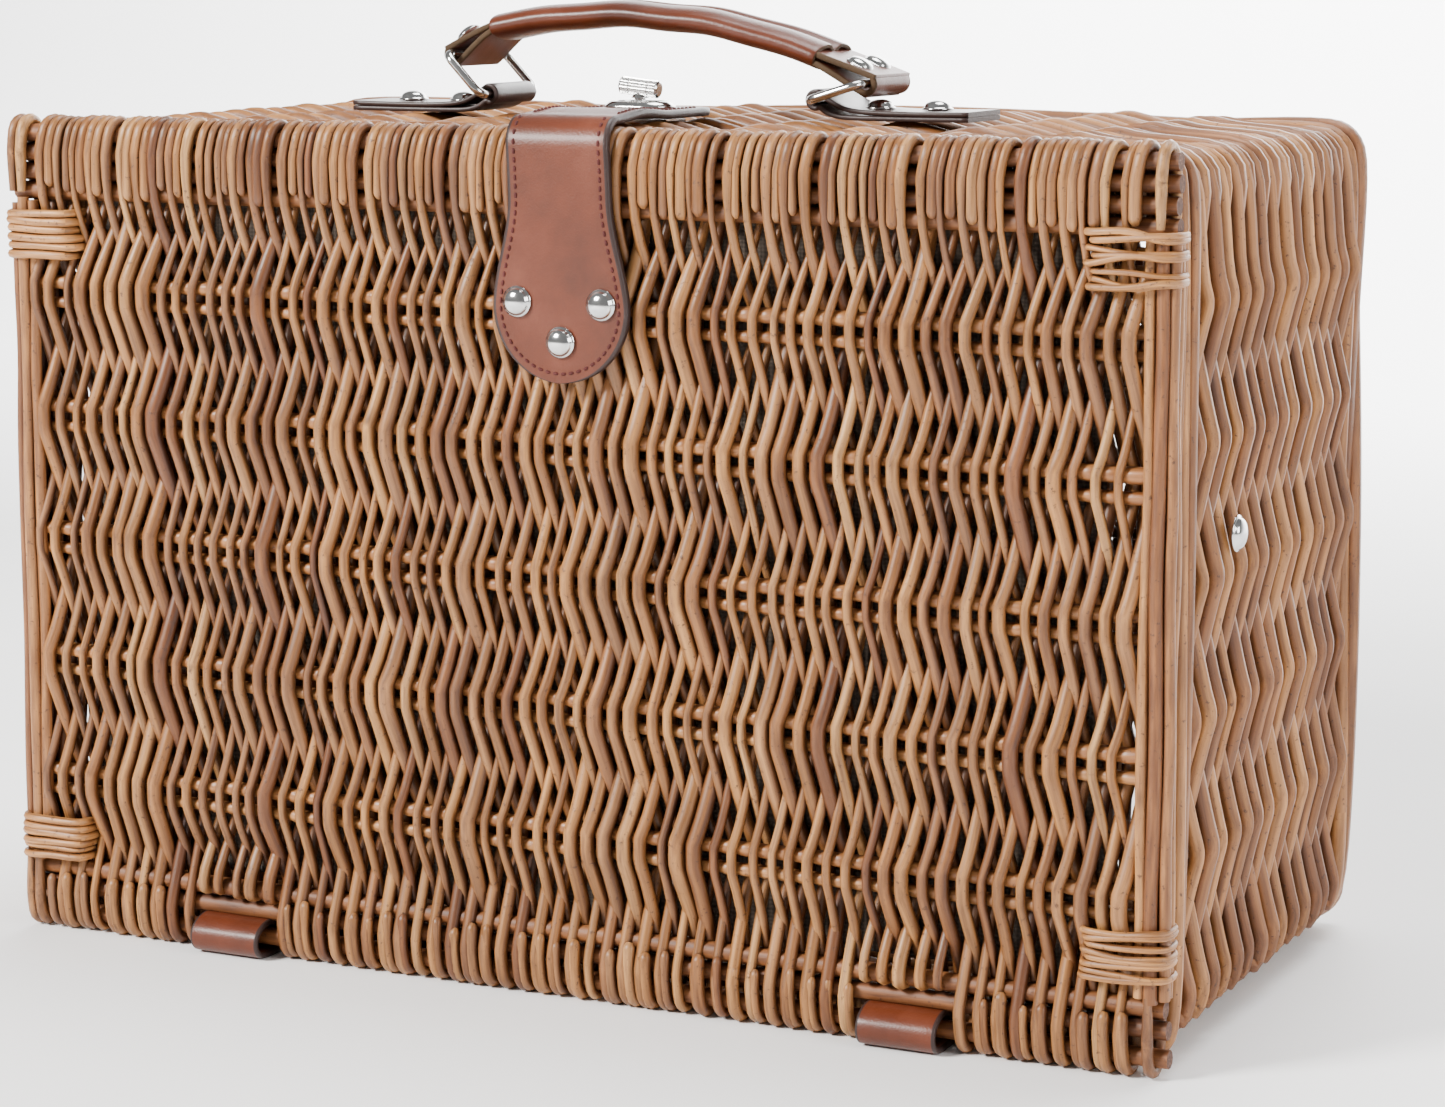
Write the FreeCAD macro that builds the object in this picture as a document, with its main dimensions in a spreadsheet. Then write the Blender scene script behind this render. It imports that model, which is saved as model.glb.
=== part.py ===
import FreeCAD, Part
import Sketcher
import math
import os

# Woven willow hamper standing on one of its long walls, in millimetres.
# X runs along the front, left to right, Y goes back from the lid to the base, Z is up.
# The origin lies on the standing face, midway between the ends and midway from lid to base.

doc = FreeCAD.newDocument("willow_hamper")

# ---------------------------------------------------------------------------------------------
# Driving dimensions
# ---------------------------------------------------------------------------------------------

SIZES = [
    ("basket_width", 414, "outside length along X"),
    ("basket_depth", 200, "outside depth along Y, front of the lid to the back of the base"),
    ("basket_height", 280, "outside height along Z as it stands"),
    ("wall", 10, "thickness of the woven walls"),
    ("corner_radius", 22, "outside radius of the woven corners"),
    ("rim_width", 10.3, "depth of the rods that finish the mouth"),
    ("base_depth", 12, "depth of the rods that edge the base"),
    ("panel", 8, "thickness of the woven base panel"),
    ("lid", 13, "thickness of the woven lid"),
    ("lid_gap", 0.4, "gap between the closed lid and the rim"),
    ("soft_gap", 0.3, "clearance of leather and willow beside their neighbours"),
    ("bore_gap", 0.1, "radial clearance of a rod or rivet in what it passes through"),
    ("rail_rod", 6, "diameter of the rods in the lid's top and bottom rails"),
    ("rail_pitch", 6.4, "spacing of the stacked rail rods"),
    ("hinge_room", 8.7, "spacing of the lowest two rods, which leaves room for the hinge leather"),
    ("brace_rod", 4.6, "diameter of the paired rods across the lid and the base"),
    ("brace_pair", 7, "spacing of the two rods of a pair"),
    ("brace_low", 52.5, "height of the lowest pair"),
    ("brace_high", 59.9, "distance of the highest pair below the top"),
    ("side_stick", 4.2, "diameter of the upright sticks at the lid's ends"),
    ("stick_inset", 4.3, "distance of the outer stick's axis from the end of the lid"),
    ("stick_pitch", 4.4, "spacing of the two upright sticks"),
    ("stake", 4.8, "diameter of the stakes inside the walls"),
    ("stake_in", 3.8, "distance of a stake's axis from the wall's inner face"),
    ("stake_low", 20, "height of the lowest side stake"),
    ("stake_high", 50, "distance of the highest side stake below the top"),
    ("stake_side", 47, "distance of the outermost upper and lower stakes from the ends"),
    ("post", 7, "diameter of the corner posts"),
    ("binding_height", 13, "height of a corner binding"),
    ("binding_low", 28, "height of the lower bindings"),
    ("binding_high", 46, "distance of the foot of the upper bindings below the top"),
    ("binding_skein", 1.6, "thickness of the binding"),
    ("lining", 0.8, "thickness of the lining"),
    ("lining_side", 24, "distance of the lining from the ends of the lid"),
    ("lining_end", 26, "distance of the lining from the top and bottom of the lid"),
    ("leather", 3, "thickness of the clasp leather"),
    ("clasp_x", 2, "middle of the clasp along X"),
    ("clasp_top", 38, "width of the clasp leather at the fold"),
    ("clasp_foot", 48, "width of the clasp leather at its lower end"),
    ("clasp_skew", 4.4, "how far the leather's lower end stands to the right of the turn-lock"),
    ("clasp_drop", 80, "length of the clasp leather down the lid"),
    ("clasp_reach", 54.5, "distance from the fold to the turn-lock"),
    ("clasp_rivet_up", 25, "height of the upper clasp rivets over the leather's end"),
    ("clasp_rivet_low", 12, "height of the lower clasp rivet over the leather's end"),
    ("clasp_rivet_side", 15, "distance of the upper clasp rivets from the middle"),
    ("fold_relief", 2.2, "radius of the relief that the clasp's fold turns in"),
    ("rivet_head", 10, "diameter of a domed rivet head"),
    ("rivet_dome", 2.6, "height of a domed rivet head"),
    ("rivet_shank", 3.4, "diameter of a rivet's shank"),
    ("washer", 1.2, "thickness of the washers and backing plates"),
    ("slot_length", 16.8, "length of the clear slot in the eyelet"),
    ("slot_width", 8.8, "width of the clear slot in the eyelet"),
    ("eyelet_flange", 3.6, "width of the eyelet's flange"),
    ("eyelet_plate", 1.2, "thickness of the eyelet's flange"),
    ("eyelet_wall", 0.8, "wall of the eyelet's sleeve"),
    ("lock_length", 26, "length of the turn-lock's foot"),
    ("lock_width", 14, "width of the turn-lock's foot"),
    ("lock_boss", 7.2, "diameter of the turn-lock's boss"),
    ("lock_rise", 5.2, "height of the boss over the wall"),
    ("post_pin", 3.8, "diameter of the knob's pin"),
    ("pin_gap", 0.05, "radial clearance of the pin in the boss"),
    ("knob_length", 14, "length of the knob's bar"),
    ("knob", 5.2, "diameter of the knob's bar"),
    ("knob_rise", 10, "height of the bar's axis over the wall"),
    ("hinge_x", 122, "distance of the hinge leathers from the middle"),
    ("hinge_width", 26.5, "width of a hinge leather"),
    ("hinge_leather", 2.2, "thickness of a hinge leather"),
    ("hinge_tail", 44, "length of a hinge leather under the wall"),
    ("hinge_rivet_y", 30, "distance of the hinge rivets behind the hinge line"),
    ("hinge_rivet_x", 9, "distance of a hinge rivet from the leather's middle"),
    ("handle_y", -16, "middle of the handle along Y"),
    ("ring_x", 60, "distance of the rings' lower bars from the middle"),
    ("ring_z", 6.5, "height of the rings' lower bars over the wall"),
    ("ring_wire", 2.9, "diameter of the ring wire"),
    ("ring_reach", 18.4, "distance between a ring's two bars"),
    ("ring_inside", 36, "clear width inside a ring"),
    ("ring_bend", 3.5, "radius of the ring's corners"),
    ("ring_left_lean", 46, "angle of the left ring over the wall, outward"),
    ("ring_right_lean", 17, "angle of the right ring over the wall, outward"),
    ("tab_width", 28, "width of a handle tab"),
    ("tab", 3.2, "thickness of a handle tab, two layers of leather"),
    ("tab_end", 53, "length of a tab from the ring's bar to its end"),
    ("tab_rivet_near", 17, "distance of the inner tab rivet from the ring's bar"),
    ("tab_rivet_far", 37, "distance of the outer tab rivet from the ring's bar"),
    ("loop_gap", 0.3, "clearance of a leather loop round a bar"),
    ("loop_leather", 2.4, "thickness of a leather loop"),
    ("loop_width", 28, "width of the strap's end loops"),
    ("loop_play", 0.6, "further clearance of the right loop, which the bending strap needs"),
    ("arc_x", -15, "centre of the grip's arc along X"),
    ("arc_z", 92.5, "centre of the grip's arc over the standing face"),
    ("arc_radius", 220.5, "radius of the grip's middle line"),
    ("sleeve_left", 11.5, "angle of the sleeve's left end from upright"),
    ("sleeve_right", 19.9, "angle of the sleeve's right end from upright"),
    ("sleeve_width", 30, "width of the sleeve"),
    ("sleeve_height", 9, "height of the sleeve"),
    ("sleeve_leather", 1.8, "thickness of the sleeve's leather"),
    ("strap_width", 22, "width of the strap inside the sleeve"),
    ("strap", 4.6, "thickness of the doubled strap inside the sleeve"),
    ("strap_bare", 1.6, "angle of strap that shows past each end of the sleeve"),
    ("strap_rivet_side", 7, "distance of a strap rivet from the strap's middle"),
    ("strap_rivet_seat", 2.8, "height of a strap rivet's seat over the strap's middle"),
    ("left_link_lean", 44, "angle of the left rivets from upright"),
    ("right_link_lean", 26, "angle of the right rivets from upright"),
    ("flex_angle", 4.4, "angle from upright of the line where the grip bends most"),
    ("flex_gap", 0.08, "angle between the two halves of the strap at that line"),
    ("stud_y", 58.3, "distance of the side studs behind the front of the lid"),
    ("stud_z", 158, "height of the side studs"),
    ("stud_head", 11.5, "diameter of a side stud's dome"),
    ("stud_dome", 3, "height of a side stud's dome"),
]

sheet = doc.addObject("Spreadsheet::Sheet", "sizes")
for row, (alias, value, meaning) in enumerate(SIZES, start=1):
    sheet.set(f"A{row}", alias)
    sheet.set(f"B{row}", str(value))
    sheet.set(f"C{row}", meaning)
    sheet.setAlias(f"B{row}", alias)

# Places that several pieces share, worked out in the sheet from the driving dimensions.
PLACES = [
    ("half_width", "=basket_width / 2"),
    ("front_y", "=-basket_depth / 2"),
    ("back_y", "=basket_depth / 2"),
    ("hinge_y", "=-basket_depth / 2 + lid / 2"),
    ("hinge_z", "=lid / 2"),
    ("lid_back_y", "=-basket_depth / 2 + lid"),
    ("rim_y", "=-basket_depth / 2 + lid + lid_gap"),
    ("wall_front_y", "=-basket_depth / 2 + lid + lid_gap + rim_width"),
    ("wall_back_y", "=basket_depth / 2 - base_depth"),
    ("panel_y", "=basket_depth / 2 - base_depth / 2"),
    ("inside_top", "=basket_height - wall"),
    ("fold_z", "=basket_height + soft_gap + leather / 2"),
    ("lock_y", "=-basket_depth / 2 + lid / 2 + clasp_reach"),
    ("clasp_foot_z", "=basket_height - clasp_drop"),
    ("bar_z", "=basket_height + ring_z"),
    ("loop_radius", "=ring_wire / 2 + loop_gap + loop_leather"),
    ("hinge_bore", "=rail_rod / 2 + soft_gap"),
    ("hinge_loop", "=rail_rod / 2 + soft_gap + hinge_leather"),
    ("weave_half", "=basket_width / 2 - stick_inset - stick_pitch - side_stick / 2 - soft_gap"),
    ("left_bar_x", "=-ring_x - ring_reach * cos(ring_left_lean * 1 deg)"),
    ("left_bar_z", "=basket_height + ring_z + ring_reach * sin(ring_left_lean * 1 deg)"),
    ("right_bar_x", "=ring_x + ring_reach * cos(ring_right_lean * 1 deg)"),
    ("right_bar_z", "=basket_height + ring_z + ring_reach * sin(ring_right_lean * 1 deg)"),
]
for row, (alias, formula) in enumerate(PLACES, start=len(SIZES) + 1):
    sheet.set(f"A{row}", alias)
    sheet.set(f"B{row}", formula)
    sheet.setAlias(f"B{row}", alias)
doc.recompute()

nodes = []


# ---------------------------------------------------------------------------------------------
# Ways of making a piece
# ---------------------------------------------------------------------------------------------

def bind(thing, prop, text):
    """Tie a property to the sheet; @name stands for a cell."""
    thing.setExpression(prop, text.replace("@", "sizes."))


TURNS = {
    "+Z": FreeCAD.Rotation(),
    "-Z": FreeCAD.Rotation(FreeCAD.Vector(1, 0, 0), 180),
    "+X": FreeCAD.Rotation(FreeCAD.Vector(0, 1, 0), 90),
    "-X": FreeCAD.Rotation(FreeCAD.Vector(0, 1, 0), -90),
    "+Y": FreeCAD.Rotation(FreeCAD.Vector(1, 0, 0), -90),
    "-Y": FreeCAD.Rotation(FreeCAD.Vector(1, 0, 0), 90),
}


def place(thing, at, way="+Z"):
    """Stand a primitive at three formulas, with its own Z along a way."""
    thing.Placement = FreeCAD.Placement(FreeCAD.Vector(), TURNS[way])
    for axis, text in zip("xyz", at):
        bind(thing, f"Placement.Base.{axis}", text)
    return thing


def rod(radius, length, at, way):
    """A round rod from a point along a way."""
    piece = doc.addObject("Part::Cylinder", "rod")
    bind(piece, "Radius", radius)
    bind(piece, "Height", length)
    return place(piece, at, way)


def block(size, at):
    """A rectangular block from its lowest corner."""
    piece = doc.addObject("Part::Box", "block")
    for prop, text in zip(("Length", "Width", "Height"), size):
        bind(piece, prop, text)
    return place(piece, at)


def dome(radius, height, at, way):
    """A domed head, flat side at the point."""
    piece = doc.addObject("Part::Ellipsoid", "dome")
    bind(piece, "Radius1", height)
    bind(piece, "Radius2", radius)
    bind(piece, "Radius3", radius)
    piece.Angle1 = 0
    piece.Angle2 = 90
    return place(piece, at, way)


def joined(pieces):
    """Several shapes that make one solid."""
    fuse = doc.addObject("Part::MultiFuse", "joined")
    fuse.Shapes = pieces
    fuse.Refine = True
    return fuse


def group(pieces):
    """Several solids that stay apart."""
    compound = doc.addObject("Part::Compound", "group")
    compound.Links = pieces
    return compound


def cut(base, tool):
    """A shape less a tool."""
    piece = doc.addObject("Part::Cut", "cut")
    piece.Base = base
    piece.Tool = tool
    return piece


def node(piece, name):
    """Name a finished sub-part."""
    piece.Label = name
    nodes.append(piece)
    return piece


def sketch_on(body, plane, offset="0"):
    """A sketch on one of the body's own planes, moved along its normal."""
    sketch = body.newObject("Sketcher::SketchObject", "outline")
    origin = [f for f in body.Origin.OriginFeatures if f.Role == plane][0]
    sketch.AttachmentSupport = [(origin, "")]
    sketch.MapMode = "FlatFace"
    bind(sketch, "AttachmentOffset.Base.z", offset)
    return sketch


def fix(sketch, kind, geometry, point, text):
    """Hold one coordinate or radius of a sketch at a formula."""
    args = (kind, geometry) if point is None else (kind, geometry, point)
    number = sketch.addConstraint(Sketcher.Constraint(*args, value_of(text)))
    bind(sketch, f"Constraints[{number}]", text)


def value_of(text):
    """What a formula comes to with the sheet as it is."""
    answer = sheet.evalExpression(text.replace("@", "sizes."))
    return float(getattr(answer, "Value", answer))


def draw_circle(sketch, across, up, radius):
    """A circle at two formulas."""
    centre = FreeCAD.Vector(value_of(across), value_of(up), 0)
    number = sketch.addGeometry(Part.Circle(centre, FreeCAD.Vector(0, 0, 1), value_of(radius)))
    fix(sketch, "DistanceX", number, 3, across)
    fix(sketch, "DistanceY", number, 3, up)
    fix(sketch, "Radius", number, None, radius)


def draw_polygon(sketch, points):
    """A closed outline of straight lines between points given as formulas."""
    corners = [FreeCAD.Vector(value_of(a), value_of(b), 0) for a, b in points]
    numbers = []
    for here, there in zip(corners, corners[1:] + corners[:1]):
        numbers.append(sketch.addGeometry(Part.LineSegment(here, there)))
    for number, after in zip(numbers, numbers[1:] + numbers[:1]):
        sketch.addConstraint(Sketcher.Constraint("Coincident", number, 2, after, 1))
    for number, (across, up) in zip(numbers, points):
        fix(sketch, "DistanceX", number, 1, across)
        fix(sketch, "DistanceY", number, 1, up)


def draw_arcs(sketch, arcs):
    """Arcs joined by lines; each arc has its centre, radius and quarter turns from and to."""
    numbers = []
    for across, up, radius, start, end in arcs:
        centre = FreeCAD.Vector(value_of(across), value_of(up), 0)
        circle = Part.Circle(centre, FreeCAD.Vector(0, 0, 1), value_of(radius))
        arc = Part.ArcOfCircle(circle, start * math.pi / 2, end * math.pi / 2)
        number = sketch.addGeometry(arc)
        numbers.append(number)
        fix(sketch, "DistanceX", number, 3, across)
        fix(sketch, "DistanceY", number, 3, up)
        fix(sketch, "Radius", number, None, radius)
        for point, turn in ((1, start), (2, end)):
            level = "Horizontal" if turn % 2 == 0 else "Vertical"
            sketch.addConstraint(Sketcher.Constraint(level, number, point, number, 3))
    for number, after in zip(numbers, numbers[1:] + numbers[:1]):
        ends = [sketch.getPoint(number, 2), sketch.getPoint(after, 1)]
        line = sketch.addGeometry(Part.LineSegment(*ends))
        sketch.addConstraint(Sketcher.Constraint("Coincident", number, 2, line, 1))
        sketch.addConstraint(Sketcher.Constraint("Coincident", line, 2, after, 1))


def draw_rounded_box(sketch, left, right, low, high, radius):
    """A rectangle with round corners."""
    draw_arcs(sketch, [
        (f"{right} - ({radius})", f"{high} - ({radius})", radius, 0, 1),
        (f"{left} + ({radius})", f"{high} - ({radius})", radius, 1, 2),
        (f"{left} + ({radius})", f"{low} + ({radius})", radius, 2, 3),
        (f"{right} - ({radius})", f"{low} + ({radius})", radius, 3, 4),
    ])


def draw_stadium(sketch, across, up, half_length, radius, upright=False):
    """Two half circles joined by lines, centred on a point."""
    if upright:
        draw_arcs(sketch, [
            (across, f"{up} + ({half_length})", radius, 0, 2),
            (across, f"{up} - ({half_length})", radius, 2, 4),
        ])
    else:
        draw_arcs(sketch, [
            (f"{across} + ({half_length})", up, radius, -1, 1),
            (f"{across} - ({half_length})", up, radius, 1, 3),
        ])


def padded(plane, length, draw, offset="0", midplane=False):
    """A body with one pad of an outline."""
    body = doc.addObject("PartDesign::Body", "body")
    sketch = sketch_on(body, plane, offset)
    draw(sketch)
    pad = body.newObject("PartDesign::Pad", "pad")
    pad.Profile = sketch
    pad.Midplane = midplane
    bind(pad, "Length", length)
    sketch.Visibility = False
    return body


def ring_of_rods(name, back, length, side):
    """The rectangular band of one stretch of the walls, open in the middle."""
    def draw(sketch):
        draw_rounded_box(sketch, "-@half_width", "@half_width", "0", "@basket_height", "@corner_radius")
        draw_rounded_box(
            sketch,
            f"-@half_width + {side}",
            f"@half_width - {side}",
            side,
            f"@basket_height - {side}",
            f"@corner_radius - {side}",
        )
    return padded("XZ_Plane", length, draw, offset=f"-({back})")


def rivet(at, way, head, height, shank):
    """A domed head with its shank running back from it."""
    signs = {"+": "-", "-": "+"}
    base = list(at)
    axis = "XYZ".index(way[1])
    back_way = signs[way[0]] + way[1]
    overlap = 0.5
    base[axis] = f"{at[axis]} {way[0]} {overlap}"
    return joined([
        dome(f"{head} / 2", height, at, way),
        rod("@rivet_shank / 2", f"{shank} + {overlap}", base, back_way),
    ])


# ---------------------------------------------------------------------------------------------
# Holes that rods and rivets share
# ---------------------------------------------------------------------------------------------

BRACES = range(5)
SIDE_STAKES = range(6)
TOP_STAKES = range(10)
HANDS = (("left", "-"), ("right", ""))


def brace_heights():
    """Heights of the paired rods, from the lowest pair to the highest."""
    run = "(@basket_height - @brace_low - @brace_high)"
    for count in BRACES:
        for side in ("-", "+"):
            yield f"@brace_low + {count} * {run} / {len(BRACES) - 1} {side} @brace_pair / 2"


def rail_heights():
    """Heights of the lid's rail rods: three at the foot, four at the top."""
    low = ["@hinge_z", "@hinge_z + @hinge_room", "@hinge_z + @hinge_room + @rail_pitch"]
    high = [f"@basket_height - @hinge_z - {count} * @rail_pitch" for count in range(4)]
    return low, high


def stake_places():
    """Places of the stakes that run from the rim to the base, inside the walls."""
    for hand, sign in HANDS:
        for count in SIDE_STAKES:
            run = "(@basket_height - @stake_low - @stake_high)"
            up = f"@stake_low + {count} * {run} / {len(SIDE_STAKES) - 1}"
            yield f"{sign}(@half_width - @wall + @stake_in)", up
    low = "@hinge_z - @hinge_bore + 2 * @soft_gap + @stake / 2"
    for up in (low, "@inside_top + @stake_in"):
        for count in TOP_STAKES:
            run = "(@basket_width - 2 * @stake_side)"
            yield f"-@half_width + @stake_side + {count} * {run} / {len(TOP_STAKES) - 1}", up


def stakes(radius):
    """Rods from the rim to the base at every stake's place."""
    return group([
        rod(radius, "@wall_back_y - @wall_front_y", (across, "@wall_front_y", up), "+Y")
        for across, up in stake_places()
    ])


def tab_rivet_places():
    """Middles of the rivets that hold the handle tabs."""
    for hand, sign in HANDS:
        for reach in ("@tab_rivet_near", "@tab_rivet_far"):
            yield f"{sign}(@ring_x + {reach})", "@handle_y"


def hinge_rivet_places():
    """Middles of the rivets that hold the hinge leathers."""
    for hand, sign in HANDS:
        for side in ("-", "+"):
            yield f"{sign}@hinge_x {side} @hinge_rivet_x", "@hinge_y + @hinge_rivet_y"


def clasp_rivet_places():
    """Middles of the three rivets that hold the clasp leather on the lid."""
    middle = "@clasp_x + @clasp_skew"
    yield f"{middle} - @clasp_rivet_side", "@clasp_foot_z + @clasp_rivet_up"
    yield f"{middle} + @clasp_rivet_side", "@clasp_foot_z + @clasp_rivet_up"
    yield middle, "@clasp_foot_z + @clasp_rivet_low"


SHANK_BORE = "@rivet_shank / 2 + @bore_gap"
wall_bores = []
for across, along in tab_rivet_places():
    wall_bores.append(rod(SHANK_BORE, "@basket_height", (across, along, "@basket_height / 2"), "+Z"))
for across, along in hinge_rivet_places():
    wall_bores.append(rod(SHANK_BORE, "@basket_height / 2", (across, along, "-1"), "+Z"))
for hand, sign in HANDS:
    reach = f"{sign}(@half_width - 2 * @wall)"
    outward = "-X" if sign else "+X"
    wall_bores.append(rod(SHANK_BORE, "4 * @wall", (reach, "@front_y + @stud_y", "@stud_z"), outward))
rivet_holes = group(wall_bores)
clasp_holes = group([
    rod(SHANK_BORE, "@lid * 3", (across, "@front_y - @lid", up), "+Y")
    for across, up in clasp_rivet_places()
])

# ---------------------------------------------------------------------------------------------
# The woven body
# ---------------------------------------------------------------------------------------------

# The walls: one woven band round all four sides, with room for the stakes, the rivets,
# the hinge leathers underneath and the foot of the turn-lock on top.
hinge_recesses = [
    block(
        ("@hinge_width + 2 * @soft_gap", "@hinge_tail + @wall", "@hinge_z - @hinge_bore + @soft_gap"),
        (f"{sign}@hinge_x - @hinge_width / 2 - @soft_gap", "@hinge_y - @wall / 2", "0"),
    )
    for hand, sign in HANDS
]
lock_recess = block(
    ("@lock_length + 2 * @soft_gap", "@lock_width + 2 * @soft_gap", "@wall"),
    (
        "@clasp_x - @lock_length / 2 - @soft_gap",
        "@lock_y - @lock_width / 2 - @soft_gap",
        "@basket_height - @washer",
    ),
)
wall_band = ring_of_rods("wall", "@wall_back_y", "@wall_back_y - @wall_front_y", "@wall")
stake_bores = stakes("@stake / 2 + @bore_gap")
node(cut(wall_band, group([stake_bores, rivet_holes, lock_recess] + hinge_recesses)), "wall_weave")

# The stakes that the walls are woven on.
node(cut(stakes("@stake / 2"), group(wall_bores)), "wall_stakes")

# The rods laid round the mouth, notched underneath for the hinge leathers.
rim_band = ring_of_rods("rim", "@wall_front_y", "@rim_width", "@wall")
node(cut(rim_band, group(hinge_recesses)), "rim_border")

# The thick rods round the base.
node(ring_of_rods("base", "@back_y", "@base_depth", "@wall"), "base_border")


def brace_rods(radius, half_length, along):
    """The paired rods across a panel."""
    return group([
        rod(radius, f"2 * ({half_length})", (f"-({half_length})", along, up), "+X")
        for up in brace_heights()
    ])


# The base: a woven panel on paired rods, held inside the base border.
base_panel = padded(
    "XZ_Plane",
    "@panel",
    lambda sketch: draw_rounded_box(
        sketch,
        "-@half_width + @wall",
        "@half_width - @wall",
        "@wall",
        "@basket_height - @wall",
        "@corner_radius - @wall",
    ),
    offset="-(@panel_y + @panel / 2)",
)
base_bores = brace_rods("@brace_rod / 2 + @bore_gap", "@half_width", "@panel_y")
node(cut(base_panel, base_bores), "base_weave")
node(brace_rods("@brace_rod / 2", "@half_width - @wall", "@panel_y"), "base_rods")

# A post in each corner, from the rim to the base panel.
post_in = "(@corner_radius - (@corner_radius - @wall - @post / 2 - @soft_gap) * 0.7071)"
node(
    group([
        rod(
            "@post / 2",
            "@panel_y - @panel / 2 - @wall_front_y",
            (f"{sign}(@half_width - {post_in})", "@wall_front_y", up),
            "+Y",
        )
        for hand, sign in HANDS
        for up in (post_in, f"@basket_height - {post_in}")
    ]),
    "corner_posts",
)

# ---------------------------------------------------------------------------------------------
# The woven lid
# ---------------------------------------------------------------------------------------------

low_rails, high_rails = rail_heights()


def rail_rods(radius, heights):
    """Stacked rods that run the length of the lid."""
    return group([
        rod(radius, "@basket_width - 1", ("-@half_width + 0.5", "@hinge_y", up), "+X")
        for up in heights
    ])


# The weave: round at its foot and head, bored for every rod, notched where the hinge leathers
# take hold of the lowest rod.
lid_slab = padded(
    "YZ_Plane",
    "2 * @weave_half",
    lambda sketch: draw_stadium(
        sketch,
        "@hinge_y",
        "@basket_height / 2",
        "@basket_height / 2 - @lid / 2",
        "@lid / 2",
        upright=True,
    ),
    midplane=True,
)
hinge_notches = [
    block(
        ("@hinge_width + 2 * @soft_gap", "@lid + 2", "@hinge_z + @hinge_loop + @soft_gap + 1"),
        (f"{sign}@hinge_x - @hinge_width / 2 - @soft_gap", "@front_y - 1", "-1"),
    )
    for hand, sign in HANDS
]
lid_bores = [
    rail_rods("@rail_rod / 2 + @bore_gap", low_rails + high_rails),
    brace_rods("@brace_rod / 2 + @bore_gap", "@half_width", "@hinge_y"),
    clasp_holes,
]
node(cut(lid_slab, group(lid_bores + hinge_notches)), "lid_weave")
node(rail_rods("@rail_rod / 2", low_rails), "lid_bottom_rail_rods")
node(rail_rods("@rail_rod / 2", high_rails), "lid_top_rail_rods")
lid_braces = brace_rods("@brace_rod / 2", "@weave_half", "@hinge_y")
node(cut(lid_braces, clasp_holes), "lid_brace_rods")

# Two upright sticks at each end of the lid, between the rails.
stick_foot = f"{low_rails[-1]} + @rail_rod / 2 + @soft_gap"
stick_head = f"{high_rails[-1]} - @rail_rod / 2 - @soft_gap"
node(
    group([
        rod(
            "@side_stick / 2",
            f"{stick_head} - ({stick_foot})",
            (f"{sign}(@half_width - @stick_inset - {count} * @stick_pitch)", "@hinge_y", stick_foot),
            "+Z",
        )
        for hand, sign in HANDS
        for count in range(2)
    ]),
    "lid_side_sticks",
)


def binding(sign, up):
    """A skein wound round the two upright sticks, open towards the weave."""
    inner = "@half_width - @stick_inset - @stick_pitch - @side_stick / 2"
    outer = "@half_width - @stick_inset + @side_stick / 2 + @bore_gap"
    hole = "(@side_stick / 2 + @bore_gap)"
    skin = "(@side_stick / 2 + @bore_gap + @binding_skein)"
    across = f"{sign}({inner})"
    reach = f"{sign}({outer} + @binding_skein)"
    opening = f"{sign}({outer})"
    inward = f"{sign}({inner} - 1)"
    outline = [(across, f"@hinge_y - {skin}"), (reach, f"@hinge_y - {skin}"),
               (reach, f"@hinge_y + {skin}"), (across, f"@hinge_y + {skin}")]
    inside = [(inward, f"@hinge_y - {hole}"), (opening, f"@hinge_y - {hole}"),
              (opening, f"@hinge_y + {hole}"), (inward, f"@hinge_y + {hole}")]
    wound = padded("XY_Plane", "@binding_height", lambda s: draw_polygon(s, outline), offset=up)
    core = padded("XY_Plane", "@binding_height", lambda s: draw_polygon(s, inside), offset=up)
    return cut(wound, core)


node(
    group([
        binding(sign, up)
        for hand, sign in HANDS
        for up in ("@binding_low", "@basket_height - @binding_high")
    ]),
    "lid_corner_bindings",
)

# The lining lies on the back of the lid's weave.
lining_sheet = block(
    (
        "@basket_width - 2 * @lining_side",
        "@lining",
        "@basket_height - 2 * @lining_end",
    ),
    ("-@half_width + @lining_side", "@lid_back_y", "@lining_end"),
)
node(cut(lining_sheet, clasp_holes), "lid_lining")

# ---------------------------------------------------------------------------------------------
# The clasp
# ---------------------------------------------------------------------------------------------

# The leather on the front of the lid: it widens downwards, ends round, and goes over the top
# edge as far as the fold.
leather_back = "(@front_y - @bore_gap)"
foot_ring = "(@clasp_foot / 2)"
foot_x = "(@clasp_x + @clasp_skew)"
front_flat = padded(
    "XZ_Plane",
    "@leather",
    lambda sketch: draw_polygon(sketch, [
        (f"{foot_x} - {foot_ring}", f"@clasp_foot_z + {foot_ring}"),
        (f"{foot_x} + {foot_ring}", f"@clasp_foot_z + {foot_ring}"),
        ("@clasp_x + @clasp_top / 2", "@basket_height - @hinge_z"),
        ("@clasp_x - @clasp_top / 2", "@basket_height - @hinge_z"),
    ]),
    offset=f"-{leather_back}",
)
front_foot = rod(foot_ring, "@leather", (foot_x, leather_back, f"@clasp_foot_z + {foot_ring}"), "-Y")


def over_the_edge(radius):
    """A quarter round bar along the top edge of the lid."""
    bar = rod(
        radius,
        "@clasp_top",
        ("@clasp_x - @clasp_top / 2", "@hinge_y", "@basket_height - @hinge_z"),
        "+X",
    )
    corner = block(
        ("@clasp_top", "2 * @lid", "2 * @lid"),
        ("@clasp_x - @clasp_top / 2", "@hinge_y - 2 * @lid", "@basket_height - @hinge_z"),
    )
    quarter = doc.addObject("Part::Common", "quarter")
    quarter.Base = bar
    quarter.Tool = corner
    return quarter


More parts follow.
